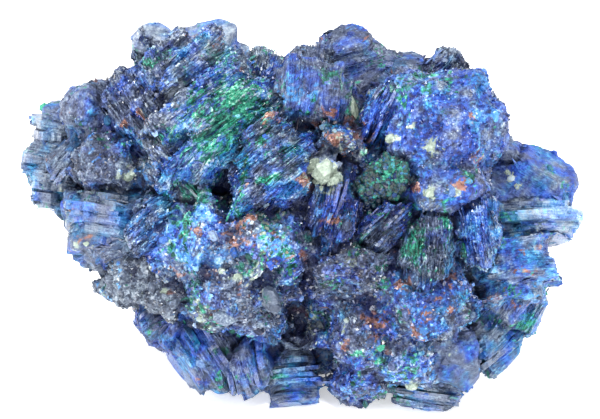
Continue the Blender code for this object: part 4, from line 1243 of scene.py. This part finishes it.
draw = np.random.default_rng(5)
stone_points, stone_triangles, stone_kinds = [], [], []
for mineral, across, up, half, turn in STONES:
    angle = math.radians(turn)
    along = np.array([math.cos(angle), math.sin(angle), 0.0]) @ FACE_AXES
    beside = np.array([-math.sin(angle), math.cos(angle), 0.0]) @ FACE_AXES
    inside = unit(draw.normal(0, 1, (HULL_POINTS, 3))) * draw.uniform(*HULL_DEPTHS, (HULL_POINTS, 1)) * half
    middle = on_the_rock(across, up) - OUT_OF_FACE * half[2] * STONE_SUNK
    corners, triangles = convex(inside @ np.array([along, beside, OUT_OF_FACE]) + middle)
    first = len(stone_kinds)
    stone_points += corners
    stone_triangles += [[first + corner for corner in triangle] for triangle in triangles]
    stone_kinds += [mineral] * len(corners)
stone_points, stone_triangles = np.array(stone_points), np.array(stone_triangles)
stone_kinds = np.array(stone_kinds)
print(len(STONES), "stones with", len(stone_triangles), "triangles")

# %% [markdown]
# ## Nodules
# Dark green malachite grew in the middle as a crowd of small round nodules, like a bunch of grapes. So it
# is a crowd of small balls that stand close on three lumps. Noise on the skin would give bumps, but not the
# deep round gaps between balls.

# %% One ball
RINGS, AROUND = 5, 9

ball = [(0.0, 0.0, 1.0)]
for ring in range(1, RINGS):
    tilt = math.pi * ring / RINGS
    for step in range(AROUND):
        turn = 2 * math.pi * (step + 0.5 * (ring % 2)) / AROUND
        ball.append((math.sin(tilt) * math.cos(turn), math.sin(tilt) * math.sin(turn), math.cos(tilt)))
ball.append((0.0, 0.0, -1.0))
ball_points, ball_faces = [np.array(values) for values in convex(ball)]
print("a ball has", len(ball_faces), "triangles")

# %% A crowd of balls
NODULE_GROWTHS = ("green_nodule", "green_nodule_top", "green_nodule_low")
NODULES_TRIED, MOST_NODULES = 2500, 520
NODULE_ROOM = 1.5
NODULE_RADIUS = (0.18, 0.55)
NODULE_SUNK = 0.35
NODULE_LUMPS = 0.06
# the crowd goes a little way round the side
ROUND_THE_SIDE = 0.2

draw = np.random.default_rng(15)
green = np.isin(ground.owner, [names.index(name) for name in NODULE_GROWTHS])
facing = np.clip(ground.normals @ OUT_OF_FACE + ROUND_THE_SIDE, 0, 1)
weights = ground.areas * green * facing
nodule_at, nodule_up, nodule_owner = ground.open_places(
    NODULES_TRIED, MOST_NODULES, weights, NODULE_ROOM, draw
)
nodules = len(nodule_at)
radius = draw.uniform(*NODULE_RADIUS, (nodules, 1, 1))
lumpy = 1 + NODULE_LUMPS * draw.normal(0, 1, (nodules, len(ball_points), 1))
nodule_middle = nodule_at - nodule_up * radius[:, 0] * NODULE_SUNK
nodule_points = nodule_middle[:, None] + ball_points[None] * radius * lumpy
print("nodules:", nodules, "with", nodules * len(ball_faces), "triangles")

# %% [markdown]
# ## Pieces from points
# Each kind of crystal becomes one mesh, or a few where there are many, with its looks stored on its points.
# All points of one crystal share their looks, so that each crystal has its own colour, as real ones do.
# Blades and druse also get a flat map in which each crystal has a square of its own, so that their colours
# stay apart if the materials are ever turned into pictures.

# %% Mesh, looks and flat map
MAP_MARGIN = 0.06
# the underside of a crystal is never seen, so it gets a tiny corner of its square
MAP_CORNER = ((0.0, 0.0), (0.02, 0.0), (0.0, 0.02))
UNDERSIDE_FACES = 2


def store(mesh, values):
    """Keep arrays of looks as attributes of the mesh's points."""
    for name, array in values.items():
        kind, field = ("FLOAT", "value") if array.ndim == 1 else ("FLOAT_VECTOR", "vector")
        mesh.attributes.new(name, kind, "POINT").data.foreach_set(field, array.astype(np.float32).ravel())


def make_piece(name, points, triangles):
    """A mesh object in the scene, made from points in millimetres and triangles."""
    mesh = bpy.data.meshes.new(name)
    mesh.from_pydata((in_box(points) * MM).tolist(), [], triangles.tolist())
    mesh.update()
    piece = bpy.data.objects.new(name, mesh)
    bpy.context.scene.collection.objects.link(piece)
    print(name, len(mesh.polygons), "triangles")
    return piece


def lay_flat(mesh, flat, faces, crystals):
    """Give each crystal a square of its own on the mesh's flat map."""
    corners = np.array(flat, dtype=float)[faces]
    corners[-UNDERSIDE_FACES:] = MAP_CORNER
    a_side = math.ceil(math.sqrt(crystals))
    square = np.stack([np.arange(crystals) % a_side, np.arange(crystals) // a_side], 1)[:, None, None]
    places = (square + MAP_MARGIN + (1 - 2 * MAP_MARGIN) * corners[None]) / a_side
    mesh.uv_layers.new(name="OFBake").data.foreach_set("uv", places.astype(np.float32).ravel())


def make_crystals(name, shapes, faces, owner, tint, flat=None):
    """One piece from many crystals of the same kind, each with looks of its own."""
    crystals, corners_each = shapes.shape[:2]
    triangles = faces[None] + corners_each * np.arange(crystals)[:, None, None]
    piece = make_piece(name, shapes.reshape(-1, 3), triangles.reshape(-1, 3))
    values = looks(shapes.mean(1), owner, tint)
    store(piece.data, {key: np.repeat(array, corners_each, axis=0) for key, array in values.items()})
    if flat:
        lay_flat(piece.data, flat, faces, crystals)
    return piece


print("a crystal's square on the map keeps a margin of", MAP_MARGIN)

# %% Rock and plates
TINT_SIZE = 0.5

store(skin, looks(skin_points, skin_owner, hashed(cells(skin_points, TINT_SIZE), 4)))
plates = make_piece("azurite_plates", plate_points, plate_triangles)
store(plates.data, looks(plate_points, plate_owner, plate_tint))

# %% Blades and crumbs
draw = np.random.default_rng(33)
blade_tint = draw.uniform(0, 1, blades)
crumb_tint = draw.uniform(0, 1, crumbs)
blades_piece = make_crystals(
    "azurite_blades", blade_points, BLADE_FACES, blade_owner, blade_tint, BLADE_FLAT
)
crumbs_piece = make_crystals("azurite_crumbs", crumb_points, ICO_FACES, crumb_owner, crumb_tint)

# %% Nodules in green
NODULE_GREENS = (0.3, 1.0)

nodule_tint = draw.uniform(0, 1, nodules)
nodules_piece = make_crystals("malachite_nodules", nodule_points, ball_faces, nodule_owner, nodule_tint)
nodule_green = np.repeat(draw.uniform(*NODULE_GREENS, nodules), len(ball_points)).astype(np.float32)
nodules_piece.data.attributes["malachite"].data.foreach_set("value", nodule_green)
nodules_piece.data.attributes["dull"].data.foreach_set("value", np.zeros_like(nodule_green))

# %% Stones in their own minerals
STONE_LIGHTS = {"clay": 0.26, "ash": 0.34}
STONE_TINT, STONE_TINT_SWING = 0.3, 0.4
OWN_LEAST, OTHERS_SHARE = 0.55, 0.8
OWN_SIZE = 0.4

stones_piece = make_piece("pale_stones", stone_points, stone_triangles)
stone_owner = distances(stone_points).argmin(0)
stone_tint = STONE_TINT + STONE_TINT_SWING * hashed(cells(stone_points, TINT_SIZE), 6)
stone_looks = looks(stone_points, stone_owner, stone_tint)
own = OWN_LEAST + (1 - OWN_LEAST) * hashed(cells(stone_points, OWN_SIZE), 8)
for mineral, *_ in MINERALS:
    stone_looks[mineral] = np.where(stone_kinds == mineral, own, OTHERS_SHARE * stone_looks[mineral])
stone_looks["light"] = np.array([STONE_LIGHTS[kind] for kind in stone_kinds])
# the stones get no painted shade
stone_looks["hollow"] *= 0.0
store(stones_piece.data, stone_looks)

# %% Druse
DRUSE_PIECES = 3

druse_tint = draw.uniform(0, 1, many)
druse_pieces = []
for part in range(DRUSE_PIECES):
    chosen = slice(part, None, DRUSE_PIECES)
    druse_pieces.append(make_crystals(
        f"azurite_druse_{part}", druse_points[chosen], DRUSE_FACES, druse_owner[chosen], druse_tint[chosen],
        DRUSE_FLAT,
    ))
pieces = [rock, plates, blades_piece, crumbs_piece, nodules_piece, stones_piece, *druse_pieces]
print(len(pieces), "pieces with", sum(len(piece.data.polygons) for piece in pieces), "faces")

# %% [markdown]
# ## Colours of the minerals
# The colour starts from a ramp of azurite blue: a stored tone chooses the place on it, from the near-black
# blue of thick clean crystal to the pale blue of its powder. Teal, grey weathering and the other minerals
# each have a short ramp of their own, laid over the blue by their stored strengths. Fixed colours would
# look painted on, because in real crystal the light and dark of one mineral vary as much as the minerals
# do.

# %% Colours
def colour(hex_code):
    """An sRGB hex colour as the linear RGBA that nodes need."""
    parts = [int(hex_code[index:index + 2], 16) / 255 for index in (1, 3, 5)]
    return [part / 12.92 if part <= 0.04045 else ((part + 0.055) / 1.055) ** 2.4 for part in parts] + [1.0]


# places on each ramp: the two ends come first
BLUES = (
    (0.0, "#040b40"), (1.0, "#c8d4e4"), (0.22, "#0a1e6a"),
    (0.42, "#17409e"), (0.60, "#3564bc"), (0.80, "#7496ca"),
)
TEALS = (
    (0.0, "#021a34"), (1.0, "#cbe6e6"), (0.22, "#053a5a"),
    (0.42, "#0c6488"), (0.60, "#2a8ea8"), (0.80, "#84c0cc"),
)
SLATES = (
    (0.0, "#0e1424"), (1.0, "#d4d8da"), (0.22, "#262e42"),
    (0.42, "#4a5366"), (0.60, "#717b88"), (0.80, "#a4acb2"),
)
GREYS = ((0.0, "#141b2a"), (1.0, "#bcc4ca"), (0.35, "#424c5e"), (0.7, "#7e8a96"))
GREENS = ((0.0, "#021c1a"), (1.0, "#b8e8d4"), (0.35, "#0b5346"), (0.65, "#33a081"))
SKIES = ((0.0, "#184ea2"), (1.0, "#cbe2ec"), (0.5, "#5195cc"))
RUSTS = ((0.0, "#3a2624"), (1.0, "#dcc0b4"), (0.5, "#8e6256"))
CLAYS = ((0.0, "#4f5b52"), (1.0, "#e3ece0"), (0.5, "#a0ae9f"))
# the dark blue that painted shade in hollows, seams and clefts mixes towards
PAINTED_SHADE_BLUE = "#060e38"
print("middle blue in linear light:", np.round(colour(BLUES[3][1]), 3))

# %% [markdown]
# ## How the values are mixed
# Three noises join the stored looks. Grain is the size of single crystals, 0.36 mm, patch is a slow change
# over about two millimetres, and strand runs along the pages. Each mixed value is a start plus sources
# times weights, so a table says them all and one loop builds them. Strong grain in a mineral's own sum
# breaks its edge into bits.

# %% Table of sums
GRAIN_MM, PATCH_MM = 0.36, 2.2
# value: start, then its sources with their weights. A weight may be a value too
SUMS = {
    "plain figure": (-1.10, (("grain", 1.2), ("strand", 1.0))),
    "figure": (0.0, (("plain figure", "crisp"),)),
    "tone": (-0.145, (("tint", 0.44), ("light", 0.50), ("figure", 1.0), ("patch", 0.2))),
    "own tone": (-0.08, (("tint", 0.50), ("light", 0.50), ("figure", 0.95))),
    "teal coat": (0.0, (("teal", 0.8),)),
    "dull coat": (0.0, (("dull", 0.9),)),
    # painted shade: how far the colour goes towards the dark blue in hollows, seams and clefts
    "shade": (0.0, (("hollow", 0.88),)),
    "relief": (0.0, (("grain", 1.0), ("strand", 1.0))),
}
# coat, the tone that it reads, its ramp: each lies over the ones before it
COATS = [("teal coat", "tone", TEALS), ("dull coat", "tone", SLATES)]
MINERAL_RAMPS = {"ash": GREYS, "sky": SKIES, "malachite": GREENS, "rust": RUSTS, "clay": CLAYS}
for mineral, stops in MINERAL_RAMPS.items():
    SUMS[mineral + " coat"] = (1.0, ((mineral, 2.9), ("grain", -3.3)))
    COATS.append((mineral + " coat", "own tone", stops))
STORED = ("tint", "crisp", "hollow", "light", "dull", "teal", *(mineral for mineral, *_ in MINERALS))
print(len(SUMS), "sums,", len(COATS), "coats over the blue")

# %% One function for nodes
def add_node(tree, kind, settings=(), inputs=(), stops=()):
    """A node with its settings, a value or a link on each input named, and the stops of its colour ramp."""
    node = tree.nodes.new(kind)
    for setting, value in dict(settings).items():
        setattr(node, setting, value)
    for socket, value in dict(inputs).items():
        if isinstance(value, bpy.types.NodeSocket):
            tree.links.new(value, node.inputs[socket])
        else:
            node.inputs[socket].default_value = value
    for index, (place, hex_code) in enumerate(stops):
        elements = node.color_ramp.elements
        element = elements[index] if index < 2 else elements.new(place)
        element.position = place
        element.color = colour(hex_code)
    return node


print("the blue ramp has", len(BLUES), "stops, given as hex colours")

# %% Make a material
ROUGHNESS_SWING = 0.3
# sockets of the node that mixes two colours
MIX_SHARE, MIX_UNDER, MIX_OVER, MIX_RESULT = 0, 6, 7, 2


def make_material(name, roughness, bump_mm, index_of_refraction, specular):
    """Natural crystal: a blue ramp under the other minerals, with painted shade in hollows and a fine rough
    surface.
    """
    material = bpy.data.materials.new(name)
    material.use_nodes = True
    tree = material.node_tree
    shader = tree.nodes["Principled BSDF"]
    place = add_node(tree, "ShaderNodeTexCoord").outputs["Object"]
    strand_place = add_node(tree, "ShaderNodeAttribute", {"attribute_name": "strand"}).outputs["Vector"]
    values = {}
    for key in STORED:
        values[key] = add_node(tree, "ShaderNodeAttribute", {"attribute_name": key}).outputs["Fac"]
    noises = {
        "grain": {"Vector": place, "Scale": 1 / (GRAIN_MM * MM), "Detail": 3.0, "Roughness": 0.65},
        "patch": {"Vector": place, "Scale": 1 / (PATCH_MM * MM), "Detail": 2.0},
        "strand": {"Vector": strand_place, "Scale": 1.0, "Detail": 2.0},
    }
    for key, inputs in noises.items():
        values[key] = add_node(tree, "ShaderNodeTexNoise", {}, inputs).outputs["Fac"]
    own_sums = {"roughness": (roughness - ROUGHNESS_SWING / 2, (("grain", ROUGHNESS_SWING),))}
    for key, (total, parts) in {**SUMS, **own_sums}.items():
        for source, weight in parts:
            inputs = {0: values[source], 1: values.get(weight, weight), 2: total}
            total = add_node(tree, "ShaderNodeMath", {"operation": "MULTIPLY_ADD"}, inputs).outputs[0]
        values[key] = total
    result = add_node(tree, "ShaderNodeValToRGB", {}, {"Fac": values["tone"]}, BLUES).outputs["Color"]
    for coat, tone, stops in COATS:
        ramp = add_node(tree, "ShaderNodeValToRGB", {}, {"Fac": values[tone]}, stops).outputs["Color"]
        inputs = {MIX_SHARE: values[coat], MIX_UNDER: result, MIX_OVER: ramp}
        result = add_node(tree, "ShaderNodeMix", {"data_type": "RGBA"}, inputs).outputs[MIX_RESULT]
    # painted shade: hollows, seams and clefts are mixed towards a dark blue
    inputs = {MIX_SHARE: values["shade"], MIX_UNDER: result, MIX_OVER: colour(PAINTED_SHADE_BLUE)}
    shaded = add_node(tree, "ShaderNodeMix", {"data_type": "RGBA"}, inputs).outputs[MIX_RESULT]
    bump = add_node(tree, "ShaderNodeBump", {}, {"Distance": bump_mm * MM, "Height": values["relief"]})
    tree.links.new(shaded, shader.inputs["Base Color"])
    tree.links.new(values["roughness"], shader.inputs["Roughness"])
    tree.links.new(bump.outputs["Normal"], shader.inputs["Normal"])
    shader.inputs["IOR"].default_value = index_of_refraction
    shader.inputs["Specular IOR Level"].default_value = specular
    return material


def wear(material, wearers):
    """Put a material on pieces, in place of what they have."""
    for piece in wearers:
        piece.data.materials.clear()
        piece.data.materials.append(material)
    print(material.name, "on", len(wearers), "pieces")


IOR_AZURITE, IOR_MALACHITE, IOR_CLAY = 1.77, 1.75, 1.55
print("index of azurite", IOR_AZURITE, "malachite", IOR_MALACHITE, "clay", IOR_CLAY)

# %% [markdown]
# ### Crumbly azurite
# The rock itself is azurite, a copper carbonate, that grew as a mass of broken crystal ends. Its index is
# high, but the ends point every way and are dusty, so the eye sees a matt blue with dark pits and few weak
# glints. That asks for a rough finish, a deep bump of 0.3 mm and a low share of reflection.

# %% Finish of the rock and the crumbs
wear(make_material("azurite rock, crumbly", 0.55, 0.30, IOR_AZURITE, 0.22), [rock, crumbs_piece])

# %% [markdown]
# ### Azurite in pages
# Plates and blades are azurite that split along its flat planes. A split face is nearly as smooth as glass,
# and a broken page edge is finely stepped. The eye gets long soft streaks of light along the pages.

# %% Finish of the plates and the blades
wear(make_material("azurite plates, broken edge", 0.30, 0.10, IOR_AZURITE, 0.4), [plates, blades_piece])

# %% [markdown]
# ### Malachite nodules
# Malachite is the green copper carbonate. It grew outwards in fine fibres that end in round skins, so its
# surface is waxy: each ball has one small soft highlight, and the gaps between them go nearly black.

# %% Finish of the nodules
wear(make_material("malachite nodules, waxy", 0.36, 0.12, IOR_MALACHITE, 0.25), [nodules_piece])

# %% [markdown]
# ### Clay and quartz
# The pale stones are dried clay with grains of quartz, broken and not worn. Clay is chalky and quartz is
# glassy, and both have an index near 1.55, lower than azurite's. The eye gets matt flat faces that catch a
# little light.

# %% Finish of the stones
# the three tiny white stones on the wing are painted highlights, white glints that wear this finish
wear(make_material("clay and quartz stones, broken", 0.42, 0.15, IOR_CLAY, 0.3), [stones_piece])

# %% [markdown]
# ### Azurite druse
# The druse is azurite that grew free into open space, so its faces are clean, flat and bright as glass.
# Each crystal flashes on its own when its face meets a lamp, which is the sparkle of the specimen. It has
# nearly no bump, because the crystals themselves are the relief.

# %% Finish of the druse
wear(make_material("azurite druse, sparkling", 0.27, 0.03, IOR_AZURITE, 0.5), druse_pieces)

# %% [markdown]
# ## Floor
# Small minerals are often shown on matt white paper that is lit from below, like a light table, so that
# hardly any shadow is left round the specimen. The paper glows a little by itself, which is simpler than a
# lamp under it.

# %% Floor
FLOOR_SIZE = 4.0
GLOW = 0.42
PAPER_ROUGHNESS = 0.9

half = FLOOR_SIZE / 2
corners = [(-half, -half, 0), (half, -half, 0), (half, half, 0), (-half, half, 0)]
floor_mesh = bpy.data.meshes.new("floor")
floor_mesh.from_pydata(corners, [], [(0, 1, 2, 3)])
floor = bpy.data.objects.new("floor", floor_mesh)
bpy.context.scene.collection.objects.link(floor)
floor.location.z = box_low[2] * MM
paper = bpy.data.materials.new("white paper, matt")
paper.use_nodes = True
paper_shader = paper.node_tree.nodes["Principled BSDF"]
paper_shader.inputs["Base Color"].default_value = colour("#fafafa")
paper_shader.inputs["Roughness"].default_value = PAPER_ROUGHNESS
paper_shader.inputs["Emission Color"].default_value = colour("#ffffff")
paper_shader.inputs["Emission Strength"].default_value = GLOW
floor_mesh.materials.append(paper)
floor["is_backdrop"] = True
print("floor:", FLOOR_SIZE, "m across")

# %% [markdown]
# ## Light
# The surround is white, so that no side is lost in shadow. Large soft panels above, at the left, at the
# right and in front shape the lumps. Two small lamps above the show face are what the crystal faces flash
# with: a large panel would only make them pale. Two panels behind at the sides give the edges their pale
# rim.

# %% Lights
WORLD_STRENGTH = 0.46
# name, place (mm), size (mm), power (W), colour
LAMPS = (
    ("top panel", (-60, 60, 520), 420, 2.6, "#ffffff"),
    ("left panel", (-420, -260, 200), 260, 1.6, "#fbfcff"),
    ("right panel", (380, -260, 160), 200, 1.2, "#fdfdff"),
    ("glint lamp", (60, -300, 500), 40, 1.6, "#ffffff"),
    ("second glint lamp", (-260, -80, 520), 36, 1.3, "#ffffff"),
    ("front panel", (-40, -560, 90), 320, 2.2, "#ffffff"),
    ("left rim panel", (-380, 240, 240), 260, 1.2, "#ffffff"),
    ("right rim panel", (390, 200, 180), 260, 1.3, "#ffffff"),
)
world = bpy.data.worlds.new("white surround")
world.use_nodes = True
surround = world.node_tree.nodes["Background"]
surround.inputs["Color"].default_value = colour("#ffffff")
surround.inputs["Strength"].default_value = WORLD_STRENGTH
bpy.context.scene.world = world
for name, place, size, power, tone in LAMPS:
    panel = bpy.data.lights.new(name, "AREA")
    panel.size = size * MM
    panel.energy = power
    panel.color = colour(tone)[:3]
    lamp = bpy.data.objects.new(name, panel)
    bpy.context.scene.collection.objects.link(lamp)
    lamp.location = Vector(place) * MM
    lamp.rotation_euler = (Vector(FACE_MIDDLE) - Vector(place)).to_track_quat("-Z", "Y").to_euler()
bpy.context.scene.view_settings.view_transform = "Standard"
print(len(LAMPS), "lamps")

# %% [markdown]
# ## Ride, replace and finish
# Every piece belongs to the one body. Together they stand in for the plain solid, and none of them reaches
# out of its box.

# %% Finish
for piece in pieces:
    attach(piece, "root")
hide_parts("azurite_specimen")
boxes = {"cad": cad_box, "scene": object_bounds()}
plain = {name: [list(map(float, corner)) for corner in box] for name, box in boxes.items()}
for name, corners in plain.items():
    print(name, "box:", (np.array(corners) / MM).round(2).tolist(), "mm")
